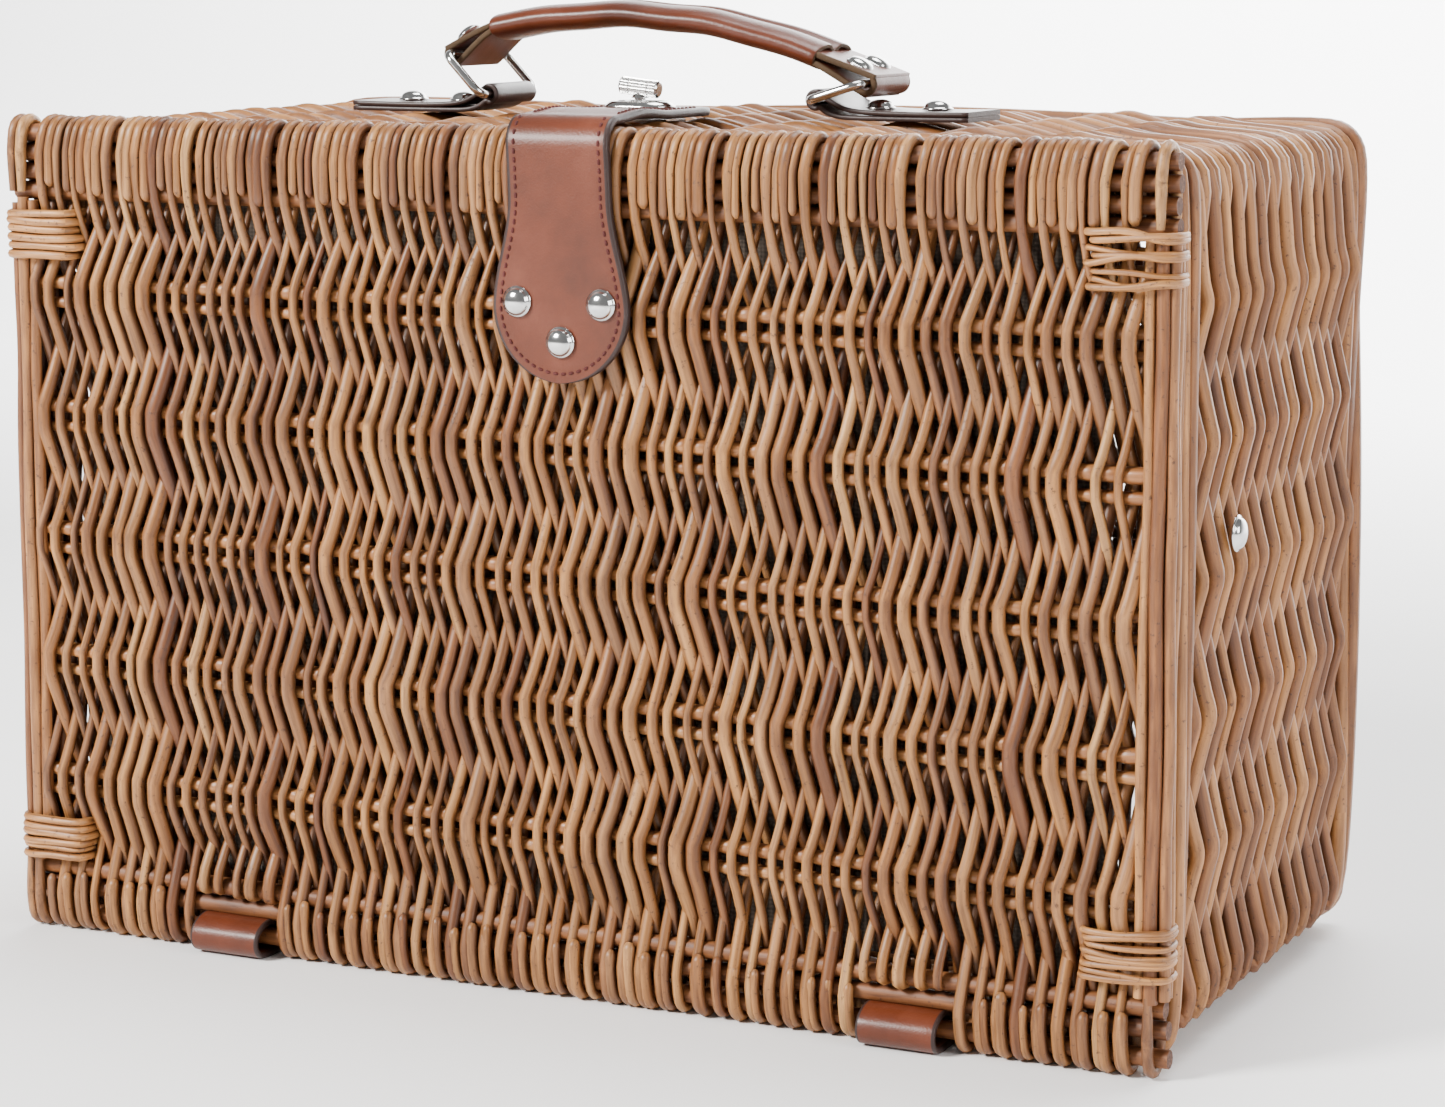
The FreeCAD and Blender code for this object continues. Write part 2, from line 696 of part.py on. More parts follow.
edge_leather = cut(
    over_the_edge("@lid / 2 + @bore_gap + @leather"),
    over_the_edge("@lid / 2 + @bore_gap"),
)
fold_room = rod(
    "@fold_relief",
    "@clasp_top + 2",
    ("@clasp_x - @clasp_top / 2 - 1", "@hinge_y", "@fold_z"),
    "+X",
)
front_leather = joined([front_flat, front_foot, edge_leather])
node(cut(cut(front_leather, fold_room), clasp_holes), "clasp_strap")

# Three domed rivets, with flat heads on the lining inside.
clasp_rivets = []
for across, up in clasp_rivet_places():
    clasp_rivets.append(rivet(
        (across, "@front_y - @bore_gap - @leather", up),
        "-Y",
        "@rivet_head",
        "@rivet_dome",
        "@leather + @bore_gap + @lid + @lining",
    ))
node(group(clasp_rivets), "clasp_rivets")
node(
    group([
        rod("@rivet_head / 2 - 1", "@washer", (across, "@lid_back_y + @lining", up), "+Y")
        for across, up in clasp_rivet_places()
    ]),
    "clasp_washers",
)


def slot_bar(radius, low, height):
    """An upright bar of the slot's shape at the turn-lock."""
    return padded(
        "XY_Plane",
        height,
        lambda sketch: draw_stadium(
            sketch,
            "@clasp_x",
            "@lock_y",
            "@slot_length / 2 - @slot_width / 2",
            radius,
        ),
        offset=low,
    )


# The tail of the leather: it turns at the fold and lies over the rim and the top wall.
tail_low = "@basket_height + @soft_gap"
tail_nose = rod(
    "@leather / 2",
    "@clasp_top",
    ("@clasp_x - @clasp_top / 2", "@hinge_y", "@fold_z"),
    "+X",
)
tail_flat = block(
    ("@clasp_top", "@lock_y - @hinge_y", "@leather"),
    ("@clasp_x - @clasp_top / 2", "@hinge_y", tail_low),
)
tail_end = rod("@clasp_top / 2", "@leather", ("@clasp_x", "@lock_y", tail_low), "+Z")
sleeve_hole = slot_bar("@slot_width / 2 + @eyelet_wall + @bore_gap", f"{tail_low} - 1", "@leather + 2")
node(cut(joined([tail_nose, tail_flat, tail_end]), sleeve_hole), "clasp_tail")

# The metal eyelet pressed into the tail.
flange = slot_bar("@slot_width / 2 + @eyelet_flange", f"{tail_low} + @leather", "@eyelet_plate")
sleeve = slot_bar("@slot_width / 2 + @eyelet_wall", tail_low, "@leather + @eyelet_plate / 2")
clear_slot = slot_bar("@slot_width / 2", f"{tail_low} - 1", "@leather + @eyelet_plate + 2")
node(cut(joined([flange, sleeve]), clear_slot), "clasp_eyelet")

# The turn-lock: a foot let into the top wall, a boss, a backing plate inside and the knob.
foot_low = "@basket_height - @washer"
lock_foot = block(
    ("@lock_length", "@lock_width", "@washer"),
    ("@clasp_x - @lock_length / 2", "@lock_y - @lock_width / 2", foot_low),
)
lock_boss = rod("@lock_boss / 2", "@lock_rise + @washer", ("@clasp_x", "@lock_y", foot_low), "+Z")
pin_bore = rod(
    "@post_pin / 2 + @pin_gap",
    "@lock_rise + 2 * @washer",
    ("@clasp_x", "@lock_y", "@basket_height"),
    "+Z",
)
node(cut(joined([lock_foot, lock_boss]), pin_bore), "turnlock_base")
node(
    block(
        ("@lock_length", "@lock_width", "@washer"),
        ("@clasp_x - @lock_length / 2", "@lock_y - @lock_width / 2", "@inside_top - @washer"),
    ),
    "turnlock_backing",
)
knob_pin = rod(
    "@post_pin / 2",
    "@knob_rise - @pin_gap",
    ("@clasp_x", "@lock_y", "@basket_height + @pin_gap"),
    "+Z",
)
knob_bar = rod(
    "@knob / 2",
    "@knob_length",
    ("@clasp_x - @knob_length / 2", "@lock_y", "@basket_height + @knob_rise"),
    "+X",
)
node(joined([knob_pin, knob_bar]), "turnlock_knob")

# ---------------------------------------------------------------------------------------------
# The hinge leathers
# ---------------------------------------------------------------------------------------------


def hinge_leather(sign):
    """A strip that loops round the lid's lowest rod and runs back under the wall."""
    left = f"{sign}@hinge_x - @hinge_width / 2"
    loop = rod("@hinge_loop", "@hinge_width", (left, "@hinge_y", "@hinge_z"), "+X")
    strip = block(
        ("@hinge_width", "@hinge_tail", "@hinge_leather"),
        (left, "@hinge_y", "@hinge_z - @hinge_loop"),
    )
    eye = rod("@hinge_bore", "@hinge_width + 2", (f"{left} - 1", "@hinge_y", "@hinge_z"), "+X")
    return cut(joined([loop, strip]), eye)


node(
    cut(group([hinge_leather(sign) for hand, sign in HANDS]), group(wall_bores)),
    "hinge_straps",
)
hinge_rivets = []
for across, along in hinge_rivet_places():
    head_low = "@hinge_z - @hinge_loop"
    shank = rod(
        "@rivet_shank / 2",
        f"@wall - ({head_low})",
        (across, along, head_low),
        "+Z",
    )
    head = dome("@rivet_head / 2 - 1", f"{head_low} - @bore_gap", (across, along, head_low), "-Z")
    clinch = rod("@rivet_head / 2 - 1", "@washer", (across, along, "@wall"), "+Z")
    hinge_rivets.append(joined([shank, head, clinch]))
node(group(hinge_rivets), "hinge_rivets")

# ---------------------------------------------------------------------------------------------
# The handle
# ---------------------------------------------------------------------------------------------

tab_left_edge = "@handle_y - @tab_width / 2"


def handle_tab(sign):
    """A doubled strip that loops round a ring's lower bar and runs outward on the wall."""
    bar = "@ring_x"
    low = "@basket_height + @bore_gap"
    slab_top = f"{low} + @tab"
    outline = [
        (f"{sign}({bar} + @tab_end)", low),
        (f"{sign}({bar} + 1.4 * @loop_radius)", low),
        (f"{sign}({bar} - 0.4 * @loop_radius)", "@bar_z - 0.9 * @loop_radius"),
        (f"{sign}({bar} + 0.4 * @loop_radius)", "@bar_z + 0.9 * @loop_radius"),
        (f"{sign}({bar} + 2.4 * @loop_radius)", slab_top),
        (f"{sign}({bar} + @tab_end)", slab_top),
    ]
    strip = padded(
        "XZ_Plane",
        "@tab_width",
        lambda sketch: draw_polygon(sketch, outline),
        offset="-(@handle_y + @tab_width / 2)",
    )
    at = (f"{sign}{bar}", tab_left_edge, "@bar_z")
    loop = rod("@loop_radius", "@tab_width", at, "+Y")
    eye_at = (f"{sign}{bar}", f"{tab_left_edge} - 1", "@bar_z")
    eye = rod("@ring_wire / 2 + @loop_gap", "@tab_width + 2", eye_at, "+Y")
    return cut(cut(joined([strip, loop]), eye), rivet_holes)


for hand, sign in HANDS:
    node(handle_tab(sign), f"handle_tab_{hand}")

node(
    group([
        rivet(
            (across, along, "@basket_height + @bore_gap + @tab"),
            "+Z",
            "@rivet_head",
            "@rivet_dome",
            "@bore_gap + @tab + @wall",
        )
        for across, along in tab_rivet_places()
    ]),
    "tab_rivets",
)
node(
    group([
        rod("@rivet_head / 2", "@washer", (across, along, "@inside_top"), "-Z")
        for across, along in tab_rivet_places()
    ]),
    "tab_washers",
)


def ring(sign, lean):
    """A rectangular wire ring: its lower bar lies in the tab, its upper bar in the strap."""
    body = doc.addObject("PartDesign::Body", "ring")
    path = sketch_on(body, "XY_Plane")
    half = "(@ring_inside / 2 + @ring_wire / 2)"
    draw_rounded_box(path, "0", "@ring_reach", f"-{half}", half, "@ring_bend")
    profile = sketch_on(body, "XZ_Plane")
    draw_circle(profile, "0", "0", "@ring_wire / 2")
    pipe = body.newObject("PartDesign::AdditivePipe", "wire")
    pipe.Profile = profile
    pipe.Spine = path
    turn = f"-({lean})" if sign == "" else f"-(180 - {lean})"
    body.Placement = FreeCAD.Placement(
        FreeCAD.Vector(),
        FreeCAD.Rotation(FreeCAD.Vector(0, 1, 0), value_of(turn)),
    )
    bind(body, "Placement.Rotation.Angle", f"({turn}) * 1 deg")
    bind(body, "Placement.Base.x", f"{sign}@ring_x")
    bind(body, "Placement.Base.y", "@handle_y")
    bind(body, "Placement.Base.z", "@bar_z")
    return body


for hand, sign in HANDS:
    node(ring(sign, f"@ring_{hand}_lean"), f"ring_{hand}")


def swept(draw, left, right):
    """An outline turned round the grip's centre, between two angles from upright."""
    body = doc.addObject("PartDesign::Body", "swept")
    sketch = sketch_on(body, "YZ_Plane")
    draw(sketch)
    turn = body.newObject("PartDesign::Revolution", "turn")
    turn.Profile = sketch
    axis = [f for f in body.Origin.OriginFeatures if f.Role == "Y_Axis"][0]
    turn.ReferenceAxis = (axis, [""])
    turn.Midplane = True
    bind(turn, "Angle", f"({left} + {right}) * 1 deg")
    middle = f"(({right}) - ({left})) / 2"
    body.Placement = FreeCAD.Placement(
        FreeCAD.Vector(),
        FreeCAD.Rotation(FreeCAD.Vector(0, 1, 0), value_of(middle)),
    )
    bind(body, "Placement.Rotation.Angle", f"({middle}) * 1 deg")
    bind(body, "Placement.Base.x", "@arc_x")
    bind(body, "Placement.Base.z", "@arc_z")
    return body


def draw_sleeve(sketch):
    """The sleeve's section: a flat tube."""
    flat = "@sleeve_width / 2 - @sleeve_height / 2"
    draw_stadium(sketch, "@handle_y", "@arc_radius", flat, "@sleeve_height / 2")
    draw_stadium(sketch, "@handle_y", "@arc_radius", flat, "@sleeve_height / 2 - @sleeve_leather")


def draw_strap(sketch):
    """The strap's section: a flat bar."""
    left, right = "@handle_y - @strap_width / 2", "@handle_y + @strap_width / 2"
    low, high = "@arc_radius - @strap / 2", "@arc_radius + @strap / 2"
    draw_polygon(sketch, [(left, low), (right, low), (right, high), (left, high)])


node(swept(draw_sleeve, "@sleeve_left", "@sleeve_right"), "handle_sleeve")


def leaned(thing, along, reach, turn, off="0"):
    """Set a primitive on a line that leans from upright, at a place along Y."""
    (across, up), lean = reach, f"(({turn}) * 1 deg)"
    thing.Placement = FreeCAD.Placement(
        FreeCAD.Vector(),
        FreeCAD.Rotation(FreeCAD.Vector(0, 1, 0), value_of(turn)),
    )
    bind(thing, "Placement.Rotation.Angle", lean)
    bind(thing, "Placement.Base.x", f"{across} + ({off}) * sin{lean}")
    bind(thing, "Placement.Base.y", along)
    bind(thing, "Placement.Base.z", f"{up} + ({off}) * cos{lean}")
    return thing


def leaned_rod(radius, length, along, reach, turn, off):
    """A rod on such a line."""
    piece = doc.addObject("Part::Cylinder", "rod")
    bind(piece, "Radius", radius)
    bind(piece, "Height", length)
    return leaned(piece, along, reach, turn, off)


def arc_point(radius, turn):
    """A point of the grip's arc at an angle from upright, clockwise."""
    angle = f"(({turn}) * 1 deg)"
    return f"@arc_x + {radius} * sin{angle}", f"@arc_z + {radius} * cos{angle}"


def half_strap(sign, end, inner_end, hand, play):
    """Half of the strap: its arc in the sleeve, the link to a ring and the loop on its bar."""
    bar_x, bar_z = f"@{hand}_bar_x", f"@{hand}_bar_z"
    eye = f"(@ring_wire / 2 + @loop_gap + {play})"
    loop = f"({eye} + @loop_leather)"
    if sign:
        arc = swept(draw_strap, end, inner_end)
    else:
        arc = swept(draw_strap, inner_end, end)
    side = "-" if sign else "+"
    other = "+" if sign else "-"
    outline = [
        arc_point("(@arc_radius - @strap / 2)", f"{sign}({end})"),
        arc_point("(@arc_radius + @strap / 2)", f"{sign}({end})"),
        (f"{bar_x} {side} 0.6 * {loop}", f"{bar_z} + 0.75 * {loop}"),
        (f"{bar_x} {other} 0.6 * {loop}", f"{bar_z} - 0.75 * {loop}"),
    ]
    edge = "(@handle_y + @loop_width / 2)"
    link = padded("XZ_Plane", "@loop_width", lambda s: draw_polygon(s, outline), offset=f"-{edge}")
    start = "@handle_y - @loop_width / 2"
    round_end = rod(loop, "@loop_width", (bar_x, start, bar_z), "+Y")
    hole = rod(eye, "@loop_width + 2", (bar_x, f"{start} - 1", bar_z), "+Y")

    # Two rivets side by side close the loop, each on a flat seat.
    end_x, end_z = arc_point("@arc_radius", f"{sign}({end})")
    middle = (f"({end_x} + {bar_x}) / 2", f"({end_z} + {bar_z}) / 2")
    lean = f"{sign}@{hand}_link_lean"
    depth = "(@loop_radius + @strap_rivet_seat)"
    seats, heads = [], []
    for way in ("-", "+"):
        along = f"@handle_y {way} @strap_rivet_side"
        seat = ("@rivet_head / 2 + @bore_gap", "@leather * 2", along, middle, lean, "@strap_rivet_seat")
        seats.append(leaned_rod(*seat))
        seats.append(leaned_rod(SHANK_BORE, f"{depth} + 1", along, middle, lean, "-@loop_radius"))
        head = doc.addObject("Part::Ellipsoid", "dome")
        bind(head, "Radius1", "@rivet_dome")
        bind(head, "Radius2", "@rivet_head / 2")
        bind(head, "Radius3", "@rivet_head / 2")
        head.Angle1 = 0
        head.Angle2 = 90
        leaned(head, along, middle, lean, "@strap_rivet_seat")
        shank = leaned_rod("@rivet_shank / 2", f"{depth} - 0.5", along, middle, lean, "-@loop_radius + 1")
        heads.append(joined([head, shank]))
    strap = cut(joined([arc, link, round_end]), group([hole] + seats))
    node(strap, f"handle_strap_{hand}")
    node(group(heads), f"handle_rivets_{hand}")


# The strap: doubled through the sleeve and bending most at one line, with a loop at each end
# round a ring's upper bar.
half_strap("-", "(@sleeve_left + @strap_bare)", "(@flex_angle - @flex_gap / 2)", "left", "0")
half_strap("", "(@sleeve_right + @strap_bare)", "(-@flex_angle - @flex_gap / 2)", "right", "@loop_play")

# ---------------------------------------------------------------------------------------------
# The side studs
# ---------------------------------------------------------------------------------------------

stud_pieces = []
stud_washers = []
for hand, sign in HANDS:
    outward = "-X" if sign else "+X"
    inward = "+X" if sign else "-X"
    along = "@front_y + @stud_y"
    stud_pieces.append(rivet(
        (f"{sign}@half_width", along, "@stud_z"),
        outward,
        "@stud_head",
        "@stud_dome",
        "@wall",
    ))
    stud_washers.append(rod(
        "@stud_head / 2",
        "@washer",
        (f"{sign}(@half_width - @wall)", along, "@stud_z"),
        inward,
    ))
node(group(stud_pieces), "side_studs")
node(group(stud_washers), "side_stud_washers")

# ---------------------------------------------------------------------------------------------
# Check and export
# ---------------------------------------------------------------------------------------------

doc.recompute()
for thing in doc.Objects:
    if "Invalid" in thing.State or "Error" in thing.State:
        raise RuntimeError(f"{thing.Label} failed to compute: {thing.State}")
for piece in nodes:
    if piece.Shape.isNull() or not piece.Shape.isValid() or not piece.Shape.Solids:
        raise RuntimeError(f"{piece.Label} has no valid solid")

os.makedirs("parts", exist_ok=True)
for piece in nodes:
    piece.Shape.exportStep(f"parts/{piece.Label}.step")
    print(piece.Label, len(piece.Shape.Solids), round(piece.Shape.Volume), piece.Shape.BoundBox)
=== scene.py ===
import math
import random

import bmesh
import bpy
from mathutils import Matrix, Vector


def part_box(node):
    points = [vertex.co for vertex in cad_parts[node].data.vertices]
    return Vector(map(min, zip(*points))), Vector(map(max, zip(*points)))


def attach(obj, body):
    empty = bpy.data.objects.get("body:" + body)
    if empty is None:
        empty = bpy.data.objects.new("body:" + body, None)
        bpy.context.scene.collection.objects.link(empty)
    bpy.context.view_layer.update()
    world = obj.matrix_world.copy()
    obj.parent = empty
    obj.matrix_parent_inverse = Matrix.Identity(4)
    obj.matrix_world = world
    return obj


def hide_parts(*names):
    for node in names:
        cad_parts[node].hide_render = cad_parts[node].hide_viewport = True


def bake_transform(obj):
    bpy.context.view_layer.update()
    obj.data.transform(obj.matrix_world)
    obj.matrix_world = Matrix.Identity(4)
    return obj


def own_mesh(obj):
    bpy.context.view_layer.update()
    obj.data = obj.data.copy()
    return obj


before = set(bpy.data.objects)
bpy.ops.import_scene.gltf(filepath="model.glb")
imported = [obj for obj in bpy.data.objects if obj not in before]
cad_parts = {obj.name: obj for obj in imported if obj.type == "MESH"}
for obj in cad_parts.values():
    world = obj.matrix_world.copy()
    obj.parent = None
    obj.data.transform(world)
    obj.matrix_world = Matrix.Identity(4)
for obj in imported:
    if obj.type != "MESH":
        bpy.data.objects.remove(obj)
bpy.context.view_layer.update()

# ------------------------------------------------------------------ woven walls
# The four walls are one band of thick peeled willow rods, woven in and out of the stakes and
# carried round the corners. The rods are steamed soft, packed down close and left as they dry.

MM = 0.001
wall_low, wall_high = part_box("wall_weave")


def new_piece(name, mesh, *materials):
    """A piece of the scene, made of a mesh and its materials."""
    piece = bpy.data.objects.new(name, mesh)
    bpy.context.scene.collection.objects.link(piece)
    for material in materials:
        mesh.materials.append(material)
    return piece


def lay_rods(name, runs, *materials, sides=2, steps=3):
    """Round rods along runs of points (x, y, z, radius); a closed run has no ends."""
    curve = bpy.data.curves.new(name, "CURVE")
    curve.dimensions = "3D"
    curve.bevel_depth = 1.0
    curve.bevel_resolution = sides
    curve.use_fill_caps = True
    for points, closed in runs:
        spline = curve.splines.new("NURBS")
        spline.points.add(len(points) - 1)
        for point, (x, y, z, radius) in zip(spline.points, points):
            point.co = (x, y, z, 1)
            point.radius = radius
        spline.use_cyclic_u = closed
        spline.order_u = 3
        spline.use_endpoint_u = not closed
        spline.resolution_u = steps
    maker = bpy.data.objects.new(name + "_runs", curve)
    bpy.context.scene.collection.objects.link(maker)
    bpy.context.view_layer.update()
    shaped = maker.evaluated_get(bpy.context.evaluated_depsgraph_get())
    mesh = bpy.data.meshes.new_from_object(shaped)
    bpy.data.objects.remove(maker)
    for face in mesh.polygons:
        face.use_smooth = len(face.vertices) == 4
        face.material_index = 0 if face.use_smooth else 1
    return new_piece(name, mesh, *materials)


def new_material(name):
    """An empty principled material, and quick ways to add nodes to it and wire them."""
    material = bpy.data.materials.new(name)
    material.use_nodes = True
    tree = material.node_tree
    shader = tree.nodes["Principled BSDF"]

    def add(kind, **settings):
        node = tree.nodes.new(kind)
        for key, value in settings.items():
            if key in node.inputs:
                node.inputs[key].default_value = value
            else:
                setattr(node, key, value)
        return node

    def wire(source, target):
        tree.links.new(source, target)

    def ramp(source, *stops):
        node = add("ShaderNodeValToRGB")
        elements = node.color_ramp.elements
        while len(elements) < len(stops):
            elements.new(0.5)
        for element, (place, colour) in zip(elements, stops):
            element.position = place
            element.color = (*colour, 1)
        wire(source, node.inputs["Fac"])
        return node.outputs["Color"]

    def mix(blend, amount, first, second):
        node = add("ShaderNodeMix", data_type="RGBA", blend_type=blend)
        node.inputs[0].default_value = amount
        wire(first, node.inputs[6])
        wire(second, node.inputs[7])
        return node.outputs[2]

    def noise(source, **settings):
        node = add("ShaderNodeTexNoise", **settings)
        wire(source, node.inputs["Vector"])
        return node.outputs["Fac"]

    def bump(height, strength, distance, under=None):
        node = add("ShaderNodeBump", Strength=strength, Distance=distance)
        wire(height, node.inputs["Height"])
        if under:
            wire(under, node.inputs["Normal"])
        return node.outputs[0]

    return material, shader, add, wire, ramp, mix, noise, bump


def peeled_willow(name, length, tones, streak=0.5, gloss=0.5):
    """Peeled willow: each rod its own tone, with long streaks, dark nodes, specks, and painted shade in the
    grooves between rods.
    """
    material, shader, add, wire, ramp, mix, noise, bump = new_material(name)
    shader.inputs["Roughness"].default_value = gloss
    shader.inputs["Specular IOR Level"].default_value = 0.45
    own = add("ShaderNodeNewGeometry").outputs["Random Per Island"]
    place = add("ShaderNodeTexCoord")
    tone = ramp(own, *((i / (len(tones) - 1), c) for i, c in enumerate(tones)))

    # the marks run along the rod: the first texture axis is its length, the second its girth
    apart = add("ShaderNodeMath", operation="MULTIPLY")
    apart.inputs[1].default_value = 37.0
    wire(own, apart.inputs[0])
    shift = add("ShaderNodeCombineXYZ")
    wire(apart.outputs[0], shift.inputs["Z"])

    def along(per_metre, round_it):
        laid = add("ShaderNodeMapping")
        laid.inputs["Scale"].default_value = (length * per_metre, round_it, 1.0)
        wire(place.outputs["UV"], laid.inputs["Vector"])
        wire(shift.outputs[0], laid.inputs["Location"])
        return laid.outputs[0]

    streaks = noise(along(38, 7.0), Scale=1.0, Detail=5.0, Roughness=0.62)
    dark = 1 - streak
    streak_shade = ramp(
        streaks,
        (0.30, (dark, dark * 0.82, dark * 0.66)),
        (0.50, (0.88, 0.84, 0.78)),
        (0.70, (1.45, 1.45, 1.38)),
    )
    colour = mix("MULTIPLY", 0.95, tone, streak_shade)

    # weathered patches drift over many rods
    patches = noise(place.outputs["Object"], Scale=22.0, Detail=3.0, Roughness=0.55)
    patch_shade = ramp(patches, (0.35, (0.66, 0.56, 0.48)), (0.62, (1.12, 1.1, 1.08)))
    colour = mix("MULTIPLY", 0.7, colour, patch_shade)

    # the nodes where twigs were: short dark bands across the rod, and specks around them
    bands = add("ShaderNodeTexVoronoi", Scale=1.0, Randomness=1.0)
    wire(along(24, 0.9), bands.inputs["Vector"])
    band_mask = ramp(bands.outputs["Distance"], (0.03, (0.9, 0.9, 0.9)), (0.13, (0, 0, 0)))
    specks = noise(place.outputs["Object"], Scale=480.0, Detail=3.0, Roughness=0.7)
    speck_mask = ramp(specks, (0.61, (0, 0, 0)), (0.69, (1, 1, 1)))
    marks = mix("LIGHTEN", 1.0, band_mask, speck_mask)
    faint = add("ShaderNodeMath", operation="MULTIPLY")
    faint.inputs[1].default_value = 0.8
    wire(marks, faint.inputs[0])
    marked = add("ShaderNodeMix", data_type="RGBA", blend_type="MIX")
    marked.inputs[7].default_value = (0.06, 0.022, 0.010, 1)
    wire(faint.outputs[0], marked.inputs[0])
    wire(colour, marked.inputs[6])

    # painted shade: the grooves between rods, where the rods shade each other, are darkened through an
    # ambient-occlusion ramp
    groove = add("ShaderNodeAmbientOcclusion", Distance=0.009, samples=5, only_local=True)
    painted_groove_shade = ramp(
        groove.outputs["AO"],
        (0.30, (0.17, 0.10, 0.07)),
        (0.62, (0.72, 0.64, 0.58)),
        (0.90, (1, 1, 1)),
    )
    wire(mix("MULTIPLY", 1.0, marked.outputs[2], painted_groove_shade), shader.inputs["Base Color"])
    relief = bump(streaks, 0.35, 0.0006)
    wire(bump(marks, 0.25, 0.0004, relief), shader.inputs["Normal"])
    return material


def cut_end(name):
    """The sawn end of a rod: brown, rough and a little grey."""
    material, shader, add, wire, ramp, mix, noise, bump = new_material(name)
    shader.inputs["Roughness"].default_value = 0.85
    place = add("ShaderNodeTexCoord")
    grain = noise(place.outputs["Object"], Scale=900.0, Detail=4.0, Roughness=0.7)
    shade = ramp(
        grain,
        (0.35, (0.035, 0.012, 0.007)),
        (0.55, (0.09, 0.034, 0.018)),
        (0.70, (0.19, 0.10, 0.06)),
    )
    wire(shade, shader.inputs["Base Color"])
    return material


HONEY = [
    (0.165, 0.061, 0.018), (0.300, 0.132, 0.041), (0.215, 0.083, 0.026), (0.430, 0.212, 0.076),
    (0.185, 0.068, 0.020), (0.350, 0.162, 0.053), (0.245, 0.104, 0.038),
]
wall_willow = peeled_willow("wall_willow", 1.3, HONEY, streak=0.55)
sawn_willow = cut_end("sawn_willow")

WALL_MID = 6.9 * MM       # from the outside of the wall to the line that the rods cross
WALL_SWING = 3.9 * MM     # how far a rod goes out and in at a stake
WALL_KINK = 2.6 * MM      # how far it leans back where it stands outside
WALL_ROD = 2.65 * MM
ROD_SPACE = 5.85 * MM
CORNER = 10 * MM
# places along a rod about a stake, and how much of its swing it has there
BEND = [(-9.0, 0.56), (-3.2, 0.90), (-1.3, 1.0), (1.3, 1.0), (3.2, 0.90), (9.0, 0.56)]
half_x = wall_high.x - WALL_MID
low_z, high_z = WALL_MID, wall_high.z - WALL_MID
side_heights = [(20 + 42 * i) * MM for i in range(6)]
top_places = [(-160 + 320 * i / 9) * MM for i in range(10)]


def wall_round(parity, y, radius, rng):
    """One rod right round the basket, outside every second stake."""
    points = []
    count = 0

    def at_stake(x, z, out_x, out_z):
        nonlocal count
        outside = (count + parity) % 2 == 0
        count += 1
        swing = (WALL_SWING if outside else -WALL_SWING) * (1 + 0.12 * (rng.random() - 0.5))
        lean = (WALL_KINK if outside else -WALL_KINK) * (1 + 0.5 * (rng.random() - 0.5))
        along_x, along_z = -out_z, out_x
        thick = radius * (1 + 0.10 * (rng.random() - 0.5))
        for step, share in BEND:
            points.append((
                x + out_x * swing * share + along_x * step * MM,
                y + lean * share,
                z + out_z * swing * share + along_z * step * MM,
                thick,
            ))

    def at_corner(cx, cz, start):
        for step in (0.12, 0.5, 0.88):
            angle = start + step * math.pi / 2
            reach = CORNER + 1.2 * MM
            points.append((
                cx + reach * math.cos(angle),
                y + 0.6 * MM * (rng.random() - 0.5),
                cz + reach * math.sin(angle),
                radius,
            ))

    for z in side_heights:
        at_stake(half_x, z, 1, 0)
    at_corner(half_x - CORNER, high_z - CORNER, 0)
    for x in reversed(top_places):
        at_stake(x, high_z, 0, 1)
    at_corner(-half_x + CORNER, high_z - CORNER, math.pi / 2)
    for z in reversed(side_heights):
        at_stake(-half_x, z, -1, 0)
    at_corner(-half_x + CORNER, low_z + CORNER, math.pi)
    for x in top_places:
        at_stake(x, low_z, 0, -1)
    at_corner(half_x - CORNER, low_z + CORNER, 3 * math.pi / 2)
    return points


rng = random.Random(11)
wall_runs = []
y = wall_low.y + 3.2 * MM
index = 0
while y < wall_high.y - 1.5 * MM:
    rod_radius = WALL_ROD * (0.80 + 0.42 * rng.random())
    wall_runs.append((wall_round(index % 2, y, rod_radius, rng), True))
    y += ROD_SPACE * (0.92 + 0.16 * rng.random())
    index += 1
half_way = len(wall_runs) // 2
for name, runs in (("wall_rods_mouth", wall_runs[:half_way]), ("wall_rods_base", wall_runs[half_way:])):
    wall_rods = lay_rods(name, runs, wall_willow, steps=2)
    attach(wall_rods, "basket")
    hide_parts("wall_weave")

# ------------------------------------------------------------------ stakes and corner posts
# Straight willow sticks run from the mouth to the base inside the walls, and a thicker post
# stands in each corner. The weaver's rods grip them, so nothing else holds them.

stick_willow = peeled_willow("stick_willow", 0.18, HONEY[:4], streak=0.5, gloss=0.55)


def straight_run(start, end, radius, rng, wander=0.0, knots=4):
    """A nearly straight rod between two points, a little thicker at its butt."""
    start, end = Vector(start), Vector(end)
    points = []
    for i in range(knots + 1):
        share = i / knots
        spot = start.lerp(end, share)
        if 0 < i < knots:
            spot += Vector([wander * (rng.random() - 0.5) * 2 for _ in range(3)])
        points.append((*spot, radius * (1.04 - 0.08 * share) * (1 + 0.03 * (rng.random() - 0.5))))
    return points, False


rng = random.Random(12)
STAKE_ROD = 1.7 * MM
stake_runs = []
front_y, back_y = wall_low.y - 6 * MM, wall_high.y + 3 * MM
for z in side_heights:
    for x in (-half_x, half_x):
        stake_runs.append(straight_run((x, front_y, z), (x, back_y, z), STAKE_ROD, rng))
for x in top_places:
    for z in (low_z, high_z):
        stake_runs.append(straight_run((x, front_y, z), (x, back_y, z), STAKE_ROD, rng))
stake_rods = lay_rods("stake_rods", stake_runs, stick_willow, steps=2)
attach(stake_rods, "basket")
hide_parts("wall_stakes")

